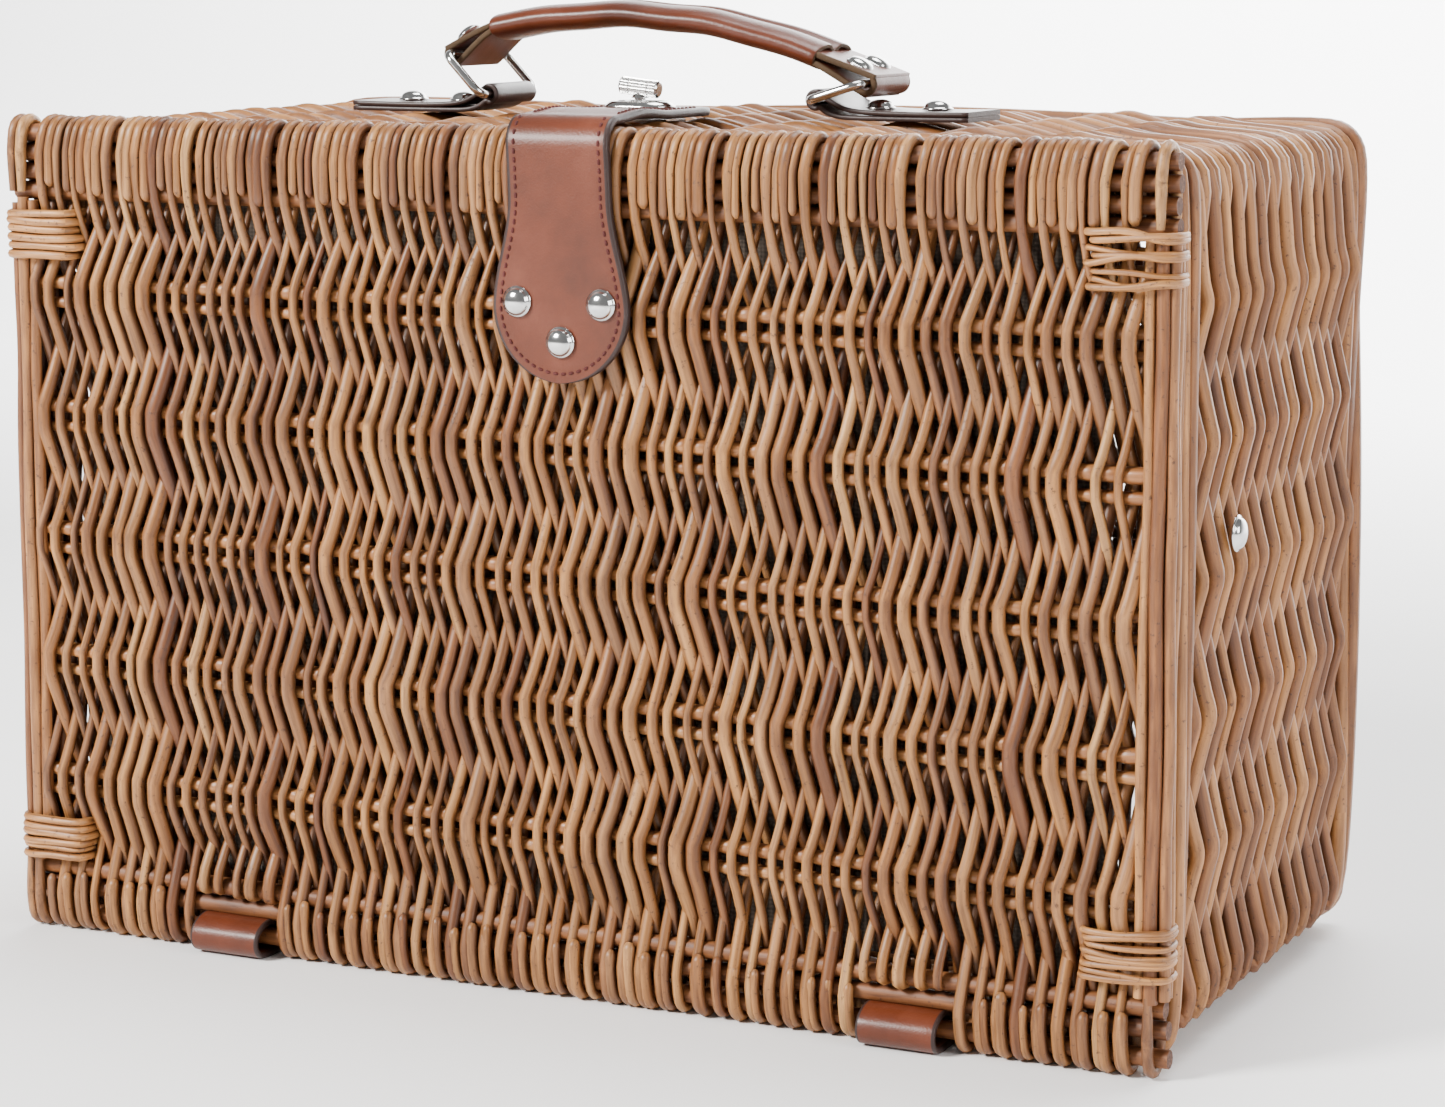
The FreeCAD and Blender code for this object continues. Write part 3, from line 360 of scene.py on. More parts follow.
POST_IN, POST_ROD = 21 * MM, 3.6 * MM
post_runs = []
for x in (-wall_high.x + POST_IN, wall_high.x - POST_IN):
    for z in (POST_IN, wall_high.z - POST_IN):
        post_runs.append(straight_run((x, front_y + 3 * MM, z), (x, back_y, z), POST_ROD, rng, 0.4 * MM))
posts = lay_rods("corner_post_rods", post_runs, stick_willow, sides=3)
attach(posts, "basket")
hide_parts("corner_posts")

# ------------------------------------------------------------------ rim and base borders
# The mouth is finished with four rods laid round it in twisting pairs, and the base with
# heavier ones. They stand a little proud of the walls and show daylight between them.

border_willow = peeled_willow("border_willow", 1.35, HONEY[1:], streak=0.5)


def round_the_basket(y, inset, corner, radius, rng, swing, twist, turns):
    """A closed rod round the basket that winds a little about its line."""
    points = []
    hx, lz, hz = wall_high.x - inset, inset, wall_high.z - inset
    legs = [
        ((hx, lz + corner), (hx, hz - corner), 6),
        ((hx - corner, hz), (-hx + corner, hz), 9),
        ((-hx, hz - corner), (-hx, lz + corner), 6),
        ((-hx + corner, lz), (hx - corner, lz), 9),
    ]
    centres = [(hx - corner, hz - corner), (-hx + corner, hz - corner),
               (-hx + corner, lz + corner), (hx - corner, lz + corner)]
    spots = []
    for side, ((x0, z0), (x1, z1), count) in enumerate(legs):
        out = [(1, 0), (0, 1), (-1, 0), (0, -1)][side]
        for i in range(count):
            share = i / (count - 1)
            spots.append((x0 + (x1 - x0) * share, z0 + (z1 - z0) * share, out))
        cx, cz = centres[side]
        angle = side * math.pi / 2 + math.pi / 4
        way = (math.cos(angle), math.sin(angle))
        spots.append((cx + way[0] * corner, cz + way[1] * corner, way))
    for i, (x, z, out) in enumerate(spots):
        phase = twist + turns * 2 * math.pi * i / len(spots)
        push = swing * math.cos(phase) + 0.5 * MM * (rng.random() - 0.5)
        shift = swing * math.sin(phase) + 0.5 * MM * (rng.random() - 0.5)
        thick = radius * (1 + 0.12 * (rng.random() - 0.5))
        points.append((x + out[0] * push, y + shift, z + out[1] * push, thick))
    return points, True


rng = random.Random(13)
rim_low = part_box("rim_border")[0]
rim_runs = []
for line, y in enumerate((rim_low.y + 3.3 * MM, rim_low.y + 8.2 * MM)):
    for strand in range(2):
        rim_runs.append(round_the_basket(
            y, 4.8 * MM, 9 * MM, 2.5 * MM, rng, 1.9 * MM, strand * math.pi + 2 * line, 2,
        ))
rim_rods = lay_rods("rim_rods", rim_runs, border_willow, steps=4)
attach(rim_rods, "basket")
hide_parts("rim_border")

border_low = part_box("base_border")[0]
border_runs = []
for line, (y, inset, radius) in enumerate((
    (border_low.y + 2.6 * MM, 4.4 * MM, 3.0 * MM),
    (border_low.y + 8.2 * MM, 3.4 * MM, 3.5 * MM),
)):
    for strand in range(2):
        border_runs.append(round_the_basket(
            y, inset + 2.4 * MM, 11 * MM, radius, rng, 2.5 * MM, strand * math.pi + 2 * line, 3 + line,
        ))
border_rods = lay_rods("base_border_rods", border_runs, border_willow, steps=4)
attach(border_rods, "basket")
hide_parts("base_border")

# ------------------------------------------------------------------ woven panels
# The lid and the base are flat panels. Paired rods run the length of the panel, and thin
# upright rods weave before and behind each pair, kinked where they are pressed against it.

PAIR_HEIGHTS = [(52.5 + 41.9 * i) * MM for i in range(5)]
PAIR_HALF = 3.4 * MM
BRACE_ROD = 2.3 * MM
KINK = 3.1 * MM


def brace_runs(y, half_length, places, rng):
    """The paired rods across a panel; each swells forward between the rods that cross it."""
    runs = []
    for row, z in enumerate(PAIR_HEIGHTS):
        for side in (-1, 1):
            thick = BRACE_ROD * (1.08 if side > 0 else 0.86) * (1 + 0.1 * (rng.random() - 0.5))
            points = [(-half_length, y, z + side * PAIR_HALF, thick)]
            for number, x in enumerate(places):
                front = (number + row) % 2 == 0
                push = 0.5 * MM if front else -1.3 * MM
                swell = 0.9 if front else 1.1
                at = x - KINK if front else x - KINK * 0.9
                height = z + side * PAIR_HALF + 0.3 * MM * (rng.random() - 0.5)
                points.append((at, y + push, height, thick * swell))
            points.append((half_length, y, z + side * PAIR_HALF, thick))
            runs.append((points, False))
    return runs


def panel_places(count, half_length, rng, wander):
    """Where the upright rods of a panel stand."""
    step = 2 * half_length / (count - 1)
    return [-half_length + step * i + wander * (rng.random() - 0.5) for i in range(count)]


def panel_weaver(number, x, y, radius, rng, top, foot):
    """One upright rod: before one pair, behind the next, and over the rails at its ends."""
    points = []
    reach = BRACE_ROD + radius * 0.98
    for row, z in enumerate(PAIR_HEIGHTS):
        front = (number + row) % 2 == 0
        side = -1 if front else 1
        shift = side * KINK * (1 + 0.4 * (rng.random() - 0.5))
        thick = radius * (1 + 0.16 * (rng.random() - 0.5))
        height = z + 0.9 * MM * (rng.random() - 0.5)
        for step, share, depth in (
            (-12, 0.42, 0.62), (-5.4, 0.86, 0.96), (-3.4, 1.0, 1.0), (2.0, 1.0, 1.0), (3.6, 1.0, 1.0),
            (5.2, 0.84, 0.97), (12, 0.24, 0.62),
        ):
            points.append((x + shift * share, y + side * reach * depth, height + step * MM, thick))
    return foot(number, x, y, radius, rng) + points + top(number, x, y, radius, rng), False


# ------------------------------------------------------------------ base panel
# The base is the back of the basket as it stands, woven of plain willow like the lid but
# without a lining, with its ends turned over the border rods.

rng = random.Random(14)
base_low, base_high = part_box("base_weave")
base_mid = (base_low.y + base_high.y) / 2
BASE_COUNT = 122
base_places = panel_places(BASE_COUNT, base_high.x - 3 * MM, rng, 0.5 * MM)
base_pairs = brace_runs(base_mid, base_high.x, base_places, rng)
base_braces = lay_rods("base_brace_rods", base_pairs, stick_willow, steps=2)
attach(base_braces, "basket")
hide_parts("base_rods")


def base_foot(number, x, y, radius, rng):
    """The lower end passes before or behind the border rods."""
    side = 1 if (number + 5) % 2 == 0 else -1
    return [(x, y + side * 4.5 * MM, (5 + 2 * rng.random()) * MM, radius),
            (x, y + side * 4.4 * MM, 16 * MM, radius)]


def base_top(number, x, y, radius, rng):
    """The upper end, likewise."""
    side = -1 if (number + 5) % 2 == 0 else 1
    height = wall_high.z
    return [(x, y + side * 4.4 * MM, height - 16 * MM, radius),
            (x, y + side * 4.5 * MM, height - (5 + 2 * rng.random()) * MM, radius)]


base_runs = []
for number, x in enumerate(base_places):
    radius = 2.1 * MM * (0.82 + 0.4 * rng.random())
    base_runs.append(panel_weaver(number, x, base_mid, radius, rng, base_top, base_foot))
base_willow = peeled_willow("base_willow", 0.28, HONEY, streak=0.45)
base_rods = lay_rods("base_weave_rods", base_runs, base_willow, steps=2)
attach(base_rods, "basket")
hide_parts("base_weave")

# ------------------------------------------------------------------ lid frame
# Three rods stacked at the foot and four at the head run the length of the lid, cut off square
# at the ends. Upright sticks stand between them at each end, and the pairs cross behind.

rng = random.Random(15)
lid_low, lid_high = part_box("lid_weave")
lid_mid = (lid_low.y + lid_high.y) / 2
RAIL_ROD = 3.0 * MM
foot_rails = [6.5 * MM, 15.2 * MM, 21.6 * MM]
head_rails = [(273.5 - 6.4 * i) * MM for i in range(4)]
rail_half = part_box("lid_bottom_rail_rods")[1].x


def rail_runs(heights, rng):
    """Stacked rods along the lid."""
    runs = []
    for z in heights:
        near = rail_half * (1 - 0.008 * rng.random())
        far = rail_half * (1 - 0.008 * rng.random())
        runs.append(straight_run((-near, lid_mid, z), (far, lid_mid, z), RAIL_ROD, rng, 0.2 * MM, 14))
    return runs


rail_willow = peeled_willow("rail_willow", 0.41, [HONEY[0], HONEY[4], HONEY[2]], streak=0.65, gloss=0.55)
for name, node, heights in (
    ("lid_foot_rods", "lid_bottom_rail_rods", foot_rails),
    ("lid_head_rods", "lid_top_rail_rods", head_rails),
):
    rails = lay_rods(name, rail_runs(heights, rng), rail_willow, sawn_willow, sides=3, steps=2)
    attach(rails, "lid")
    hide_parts(node)

LID_COUNT = 123
lid_places = panel_places(LID_COUNT, lid_high.x - 1.5 * MM, rng, 1.1 * MM)
brace_half = lid_high.x + 2 * MM
brace_tones = [(0.399, 0.195, 0.074), (0.333, 0.144, 0.049), (0.366, 0.168, 0.061)]
brace_willow = peeled_willow("brace_willow", 0.4, brace_tones, streak=0.35, gloss=0.38)
lid_pairs = brace_runs(lid_mid, brace_half, lid_places, rng)
lid_braces = lay_rods("lid_brace_pairs", lid_pairs, brace_willow, sawn_willow, steps=2)
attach(lid_braces, "lid")
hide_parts("lid_brace_rods")

stick_runs = []
for sign in (-1, 1):
    for x, y, low, high, radius in (
        (197.8, -96.8, 25.5, 251, 2.0),
        (201.4, -97.4, 24, 252, 2.2),
        (205.0, -95.8, 25, 250, 1.9),
        (204.2, -91.9, 25, 250, 2.1),
        (200.0, -90.4, 24, 252, 2.0),
        (195.6, -90.6, 25, 252, 1.9),
    ):
        stick_runs.append(straight_run(
            (sign * x * MM, y * MM, low * MM), (sign * x * MM, y * MM, high * MM),
            radius * MM, rng, 0.7 * MM, 9,
        ))
upright_willow = peeled_willow("upright_willow", 0.25, HONEY[2:], streak=0.45)
side_sticks = lay_rods("lid_end_sticks", stick_runs, upright_willow, sides=3)
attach(side_sticks, "lid")
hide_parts("lid_side_sticks")

# ------------------------------------------------------------------ lid weave
# The lid's upright rods are thinner than the walls'. One in two passes before the outermost rail
# and turns back over it, and the next comes over it from behind and stops in a rounded tip.

rng = random.Random(16)
LID_ROD = 1.95 * MM
RAIL_REACH = RAIL_ROD + 1.85 * MM
HINGE_MID = 122 * MM
HINGE_HALF = 16.6 * MM
HEAD_SLANT, FOOT_SLANT = 4.2, 1.6


def over_rail(x, y, z, up, side, radius, tail, slant):
    """The turn of a rod over the outermost rail, slanting from one side to the other."""
    over = RAIL_ROD + 1.5 * MM
    steps = [
        (0.0, side, -22 * MM), (0.0, side, -9 * MM), (0.0, side, -6.2 * MM), (0.04, side, -4.8 * MM),
        (0.30, side * 0.90, 2.0 * MM), (0.42, side * 0.3, over), (0.58, -side * 0.3, over),
        (0.70, -side * 0.90, 2.0 * MM), (0.96, -side, -4.8 * MM), (1.0, -side, -6.2 * MM),
        (1.0, -side, -tail + 1.9 * MM), (1.0, -side * 0.99, -tail + 0.5 * MM),
        (1.0, -side * 0.85, -tail - 0.3 * MM),
    ]
    points = []
    for share, depth, height in steps:
        thick = radius * (0.66 if height < -tail else 1.0)
        points.append((x + slant * share, y + depth * RAIL_REACH, z + up * height, thick))
    return points


def lid_top(number, x, y, radius, rng):
    """The head of a lid rod; one behind the pairs below comes over and ends in a short loop."""
    side = -1 if (number + len(PAIR_HEIGHTS)) % 2 == 0 else 1
    tail = (16.5 + 4.5 * rng.random()) * MM
    if side == -1:
        slant = (HEAD_SLANT + 0.8 * rng.random()) * MM
        return over_rail(x - 1.4 * MM, y, head_rails[0], 1, side, min(radius, 2.1 * MM), tail, slant)
    if number % 5 == 0:
        return [(x + 2 * MM, y + RAIL_REACH, 256 * MM, radius),
                (x + 2 * MM, y + RAIL_REACH, 271 * MM, radius * 0.8)]
    slant = -(HEAD_SLANT + 0.8 * rng.random()) * MM
    return over_rail(x - 1.4 * MM - slant, y, head_rails[0], 1, side, min(radius, 2.1 * MM), tail, slant)


def lid_foot(number, x, y, radius, rng):
    """The foot of a lid rod; the hinge leathers leave room for none."""
    side = -1 if (number + 1) % 2 == 0 else 1
    if abs(abs(x) - HINGE_MID) < HINGE_HALF:
        stop = (20.6 + 1.2 * rng.random()) * MM
        return [(x + 0.6 * MM, y, stop - 1.6 * MM, radius * 0.7),
                (x, y + side * (RAIL_REACH - 0.6 * MM), stop - 1.2 * MM, radius * 0.9),
                (x, y + side * RAIL_REACH, stop + 0.5 * MM, radius),
                (x, y + side * RAIL_REACH, 27 * MM, radius)]
    if side == 1 and number % 5 == 1:
        return [(x, y + RAIL_REACH, 5 * MM, radius * 0.8), (x, y + RAIL_REACH, 25 * MM, radius)]
    tail = (11 + 4 * rng.random()) * MM
    slant = side * -FOOT_SLANT * MM
    turned = over_rail(x, y, foot_rails[0], -1, side, min(radius, 2.1 * MM), tail, slant)
    return list(reversed(turned[1:]))


lid_runs = []
for number, x in enumerate(lid_places):
    radius = LID_ROD * (0.74 + 0.62 * rng.random() ** 1.4)
    lid_runs.append(panel_weaver(number, x, lid_mid, radius, rng, lid_top, lid_foot))
lid_willow = peeled_willow("lid_willow", 0.30, [
    (0.250, 0.104, 0.031), (0.360, 0.174, 0.058), (0.175, 0.074, 0.029), (0.450, 0.250, 0.098),
    (0.270, 0.120, 0.044), (0.145, 0.051, 0.016), (0.330, 0.155, 0.050), (0.220, 0.101, 0.043),
    (0.410, 0.210, 0.072), (0.190, 0.072, 0.022),
], streak=0.6, gloss=0.42)
for x, radius in ((-204.6, 1.9), (-201.2, 2.0), (200.9, 1.9)):
    head = over_rail(x * MM, lid_mid, head_rails[0], 1, -1, radius * MM, 17 * MM, 1.2 * MM)
    foot = over_rail(x * MM, lid_mid, foot_rails[0], -1, -1, radius * MM, 13 * MM, 0.8 * MM)
    lid_runs.append(([(*head[0][:2], 254 * MM, radius * 0.7 * MM)] + head[1:], False))
    lid_runs.append(([(*foot[0][:2], 26 * MM, radius * 0.7 * MM)] + foot[1:], False))
middle = len(lid_runs) // 2
for name, runs in (("lid_weave_rods_left", lid_runs[:middle]), ("lid_weave_rods_right", lid_runs[middle:])):
    lid_rods = lay_rods(name, runs, lid_willow, steps=2)
    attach(lid_rods, "lid")
    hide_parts("lid_weave")

# ------------------------------------------------------------------ corner bindings
# Each corner of the lid is bound with split willow skein, wound round the end sticks and the
# last upright rods: six flat turns at a left corner, eight finer ones that cross at a right one.

rng = random.Random(17)
binding_runs = []
for sign, low, high, inner in ((-1, 233, 247, 179), (-1, 27, 39, 180), (1, 237, 253, 178), (1, 31, 45, 179)):
    turns = 6 if sign < 0 else 8
    for turn in range(turns):
        z = (low + (high - low) * turn / (turns - 1)) * MM
        cross = (1.2 if sign < 0 else 4.5) * MM
        tip = z + cross * (rng.random() - 0.5)
        mid = (z + tip) / 2 + cross * (rng.random() - 0.5)
        x_in = sign * (inner + 2.5 * rng.random()) * MM
        x_out = sign * 206.6 * MM
        front, back = (-101.0 - 0.9 * rng.random()) * MM, -86.4 * MM
        loop = [
            (x_in, front + 2.2 * MM, z), (x_in + sign * 3 * MM, front + 0.2 * MM, z),
            ((x_in + x_out) / 2, front, mid), (x_out - sign * 5 * MM, front + 0.2 * MM, tip),
            (x_out, front + 2.4 * MM, tip), (x_out, back - 2.4 * MM, tip),
            (x_out - sign * 5 * MM, back, tip), ((x_in + x_out) / 2, back + 0.3 * MM, mid),
            (x_in + sign * 3 * MM, back, z), (x_in, back - 2.2 * MM, z),
        ]
        thick = ((1.25 if sign < 0 else 0.9) + 0.35 * rng.random()) * MM
        binding_runs.append(([(*p, thick) for p in loop], True))
skein_tones = [HONEY[3], HONEY[5], (0.38, 0.19, 0.07)]
skein_willow = peeled_willow("skein_willow", 0.09, skein_tones, streak=0.6, gloss=0.42)
bindings = lay_rods("corner_binding_skeins", binding_runs, skein_willow, steps=4)
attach(bindings, "lid")
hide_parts("lid_corner_bindings")

# ------------------------------------------------------------------ lid lining
# A plain taupe cotton cloth is stretched flat over the inside of the lid and tacked to its
# edge, so it shows as a soft dark ground between the lid's rods.

lining_low, lining_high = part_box("lid_lining")
cloth = bmesh.new()
bmesh.ops.create_grid(cloth, x_segments=90, y_segments=56, size=0.5)
cloth_width = lining_high.x - lining_low.x
cloth_height = lining_high.z - lining_low.z
for vert in cloth.verts:
    across, up = vert.co.x, vert.co.y
    x, z = across * cloth_width, (up + 0.5) * cloth_height + lining_low.z
    slack = 0.35 * MM * math.sin(x * 95 + 3 * math.sin(z * 40)) + 0.25 * MM * math.sin(z * 130 + x * 30)
    pull = min(1, (0.5 - abs(across)) * 12, (0.5 - abs(up)) * 12)
    vert.co = (x, lining_low.y + 0.1 * MM + pull * slack, z)


def from_work(name, work, *materials, smooth=True):
    """A worked shape made into a piece."""
    mesh = bpy.data.meshes.new(name)
    work.to_mesh(mesh)
    work.free()
    if smooth:
        mesh.polygons.foreach_set("use_smooth", [True] * len(mesh.polygons))
    return new_piece(name, mesh, *materials)


def woven_cotton(name, colour):
    """Plain cotton cloth: crossed threads, a little slub and a soft sheen."""
    material, shader, add, wire, ramp, mix, noise, bump = new_material(name)
    shader.inputs["Roughness"].default_value = 0.9
    shader.inputs["Sheen Weight"].default_value = 0.2
    place = add("ShaderNodeTexCoord").outputs["Object"]
    crossed = add("ShaderNodeMath", operation="ADD")
    for number, axis in enumerate(("X", "Z")):
        wave = add("ShaderNodeTexWave", Scale=1500 / 6.28, Distortion=1.2, Detail=1.0, bands_direction=axis)
        wire(place, wave.inputs["Vector"])
        wire(wave.outputs["Fac"], crossed.inputs[number])
    slub = noise(place, Scale=60.0, Detail=4.0)
    shade = ramp(slub, (0.3, tuple(c * 0.72 for c in colour)), (0.7, tuple(c * 1.18 for c in colour)))
    wire(mix("MULTIPLY", 0.35, shade, crossed.outputs[0]), shader.inputs["Base Color"])
    wire(bump(crossed.outputs[0], 0.5, 0.0003), shader.inputs["Normal"])
    return material


lining = from_work("lining_cloth", cloth, woven_cotton("taupe_cotton", (0.085, 0.062, 0.045)))
thick = lining.modifiers.new("cloth thickness", "SOLIDIFY")
thick.thickness = 0.6 * MM
thick.offset = -1
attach(lining, "lid")
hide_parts("lid_lining")

# ------------------------------------------------------------------ leather strips
# All the straps are bridle leather, cut in strips, dyed brown, waxed to a gloss and burnished
# dark along the cut edges. Each is bent to its place and held with rivets.


def bridle_leather(name, colour, gloss, grain=0.5, coat=0.35):
    """Waxed leather: pores, faint creases, darker rubbed patches and a thin gloss."""
    material, shader, add, wire, ramp, mix, noise, bump = new_material(name)
    shader.inputs["Roughness"].default_value = gloss
    shader.inputs["Specular IOR Level"].default_value = 0.32
    shader.inputs["Coat Weight"].default_value = coat
    shader.inputs["Coat Roughness"].default_value = 0.22
    place = add("ShaderNodeTexCoord").outputs["Object"]
    shade = ramp(
        noise(place, Scale=38.0, Detail=6.0, Roughness=0.6),
        (0.30, tuple(c * 0.62 for c in colour)),
        (0.52, colour),
        (0.78, tuple(min(1, c * 1.35 + 0.01) for c in colour)),
    )
    pores = add("ShaderNodeTexVoronoi", Scale=1500.0)
    wire(place, pores.inputs["Vector"])
    pore_shade = ramp(pores.outputs["Distance"], (0.0, (0.72, 0.7, 0.7)), (0.28, (1, 1, 1)))
    wire(mix("MULTIPLY", 0.6, shade, pore_shade), shader.inputs["Base Color"])
    creases = noise(place, Scale=260.0, Detail=5.0, Roughness=0.7)
    deep = bump(creases, grain * 0.5, 0.0005)
    wire(bump(pores.outputs["Distance"], grain * 0.5, 0.0002, deep), shader.inputs["Normal"])
    return material


strap_brown = bridle_leather("strap_brown", (0.105, 0.021, 0.006), 0.44, coat=0.12)
sleeve_brown = bridle_leather("sleeve_brown", (0.082, 0.0165, 0.0045), 0.38, grain=0.35, coat=0.12)
dark_edge = bridle_leather("dark_edge", (0.028, 0.014, 0.012), 0.5, coat=0.1)
tab_dark = bridle_leather("tab_dark", (0.032, 0.011, 0.008), 0.45)
raw_edge = bridle_leather("raw_edge", (0.065, 0.036, 0.016), 0.8, grain=0.9, coat=0.0)


def smooth_path(points, count):
    """Evenly numbered points on a smooth line through the given ones."""
    spots = [Vector(p) for p in points]
    spots = [2 * spots[0] - spots[1]] + spots + [2 * spots[-1] - spots[-2]]
    spans = len(points) - 1
    path = []
    for i in range(count + 1):
        along = i / count * spans
        k = min(int(along), spans - 1)
        f = along - k
        a, b, c, d = spots[k:k + 4]
        path.append(0.5 * (2 * b + (c - a) * f + (2 * a - 5 * b + 4 * c - d) * f * f
                           + (3 * b - a - 3 * c + d) * f * f * f))
    return path


def leather_strip(name, path, half_width, thickness, faces, side=(1, 0, 0)):
    """A strip of leather laid along a path: a flat section with soft cut edges."""
    side = Vector(side)
    half = thickness / 2
    section = []
    for face in (1, -1):
        section += [(face * (1 - 2 * i / 8), 0.0, face) for i in range(9)]
        for turned in (math.radians(a) for a in (30, 65, 90, 115, 150)):
            bulge = math.sin(turned) ** 0.6
            depth = math.copysign(abs(math.cos(turned)) ** 0.6, math.cos(turned))
            section.append((-face, -face * bulge, face * depth))
    section.append(section[0])
    rows, columns = len(path) - 1, len(section) - 1
    strip = bmesh.new()
    bmesh.ops.create_grid(strip, x_segments=rows, y_segments=columns, size=0.5)
    for face in strip.faces:
        column = (face.calc_center_median().y + 0.5) * columns
        face.material_index = 1 if 8 < column < 14 or 22 < column else 0
    for vert in strip.verts:
        row = round((vert.co.x + 0.5) * rows)
        spread, over, up = section[round((vert.co.y + 0.5) * columns)]
        ahead = path[min(row + 1, rows)] - path[max(row - 1, 0)]
        normal = side.cross(ahead).normalized()
        width = max(half_width(row / rows) - half, 0.05 * MM)
        vert.co = path[row] + side * (spread * width + over * half) + normal * (up * half)
    bmesh.ops.remove_doubles(strip, verts=strip.verts, dist=1e-7)
    ends = bmesh.ops.holes_fill(strip, edges=[e for e in strip.edges if e.is_boundary], sides=0)["faces"]
    for face in ends:
        face.material_index = 1
    bmesh.ops.recalc_face_normals(strip, faces=strip.faces)
    for face in strip.faces:
        face.smooth = face not in ends
    return from_work(name, strip, *faces, smooth=False)


def finished(piece):
    """The piece with its modifiers worked into its mesh, smooth, facing outwards."""
    bpy.context.view_layer.update()
    shaped = piece.evaluated_get(bpy.context.evaluated_depsgraph_get())
    mesh = bpy.data.meshes.new_from_object(shaped)
    piece.modifiers.clear()
    piece.data = mesh
    work = bmesh.new()
    work.from_mesh(mesh)
    bmesh.ops.remove_doubles(work, verts=work.verts, dist=1e-6)
    bmesh.ops.recalc_face_normals(work, faces=work.faces)
    for face in work.faces:
        face.smooth = True
    work.to_mesh(mesh)
    work.free()
    return piece


# ------------------------------------------------------------------ clasp leather
# One strap closes the basket. Its broad end is riveted to the lid and stitched round the edge,
# and it goes up over the lid's head to the fold, where the loose tail begins.

clasp_low, clasp_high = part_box("clasp_strap")
tail_low, tail_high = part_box("clasp_tail")
eye_low, eye_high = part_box("clasp_eyelet")
LOCK_X, LOCK_Y = (eye_low.x + eye_high.x) / 2, (eye_low.y + eye_high.y) / 2
CLASP_LEATHER = 2.8 * MM
FOOT_X = (clasp_low.x + clasp_high.x) / 2
FOOT_HALF = (clasp_high.x - clasp_low.x) / 2
face_y = lid_low.y - 1.9 * MM
edge_z = 273.5 * MM
EDGE_TURN = lid_mid - face_y
TO_EDGE = edge_z - clasp_low.z
TO_FOLD = TO_EDGE + EDGE_TURN * math.pi / 2
CLASP_RUN = TO_FOLD + tail_high.y - lid_mid
TAIL_TIP = 12 * MM


def eased(value, start, end):
    """0 before start, 1 after end, smooth between."""
    share = max(0.0, min(1.0, (value - start) / (end - start)))
    return share * share * (3 - 2 * share)


def clasp_at(run):
    """The middle of the clasp leather, up the lid, over its edge and back to the tail's end."""
    x = FOOT_X + (LOCK_X - FOOT_X) * eased(run, 48 * MM, TO_FOLD + 46 * MM)
    if run <= TO_EDGE:
        dent = 0.5 * MM * math.sin(run / TO_EDGE * 7) * (1 - run / TO_EDGE)
        return Vector((x, face_y + dent, clasp_low.z + run))
    if run <= TO_FOLD:
        angle = (run - TO_EDGE) / EDGE_TURN
        return Vector((x, lid_mid - EDGE_TURN * math.cos(angle), edge_z + EDGE_TURN * math.sin(angle)))
    beyond = run - TO_FOLD
    hump = 1.2 * MM * math.sin(min(1.0, beyond / (44 * MM)) * math.pi) ** 2
    return Vector((x, lid_mid + beyond, edge_z + EDGE_TURN + hump))


def clasp_half(run):
    """Half the clasp leather's width: a round foot, a waist, and a blunt tail."""
    if run < FOOT_HALF:
        return math.sqrt(max(0, FOOT_HALF ** 2 - (FOOT_HALF - run) ** 2))
    half = FOOT_HALF - 6 * MM * eased(run, 22 * MM, 58 * MM) + 0.7 * MM * eased(run, TO_FOLD, CLASP_RUN)
    blunt = max(0, run - (CLASP_RUN - TAIL_TIP)) / (TAIL_TIP + 0.05 * MM)
    return half - 8 * MM * (1 - (1 - blunt ** 3) ** (1 / 3))


clasp_runs = [FOOT_HALF * (1 - math.cos(i / 16 * math.pi / 2)) for i in range(16)]
clasp_runs += [FOOT_HALF + (CLASP_RUN - TAIL_TIP - FOOT_HALF) * i / 70 for i in range(70)]
clasp_runs += [CLASP_RUN - TAIL_TIP * (1 - math.sin(i / 14 * math.pi / 2)) for i in range(15)]
clasp_leather = leather_strip(
    "clasp_leather", [clasp_at(run) for run in clasp_runs],
    lambda share: clasp_half(clasp_runs[round(share * (len(clasp_runs) - 1))]),
    CLASP_LEATHER, (strap_brown, dark_edge),
)


LOOP_SPOTS = 48


def slot_loop(work, half_length, half_width, height):
    """A ring of points of a rounded slot about the turn-lock."""
    loop = bmesh.ops.create_circle(work, cap_ends=False, radius=1, segments=LOOP_SPOTS)["verts"]
    for vert in loop:
        angle = math.atan2(vert.co.y, vert.co.x)
        straight = math.copysign(half_length - half_width, math.cos(angle))
        vert.co = (
            LOCK_X + half_width * math.cos(angle) + straight,
            LOCK_Y + half_width * math.sin(angle),
            height,
        )


punch_work = bmesh.new()
for height in (tail_low.z - 5 * MM, tail_high.z + 5 * MM):
    slot_loop(punch_work, 9.0 * MM, 5.0 * MM, height)
bmesh.ops.bridge_loops(punch_work, edges=punch_work.edges[:])
bmesh.ops.holes_fill(punch_work, edges=[e for e in punch_work.edges if e.is_boundary], sides=0)
bmesh.ops.recalc_face_normals(punch_work, faces=punch_work.faces)
punch = from_work("punch", punch_work, smooth=False)
slot_cut = clasp_leather.modifiers.new("slot", "BOOLEAN")
slot_cut.operation = "DIFFERENCE"
slot_cut.solver = "EXACT"
slot_cut.object = punch
clasp_leather = finished(clasp_leather)
bpy.data.objects.remove(punch)
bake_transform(clasp_leather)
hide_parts("clasp_strap", "clasp_tail")

thread_red = bridle_leather("thread_red", (0.07, 0.010, 0.008), 0.7, coat=0.0)


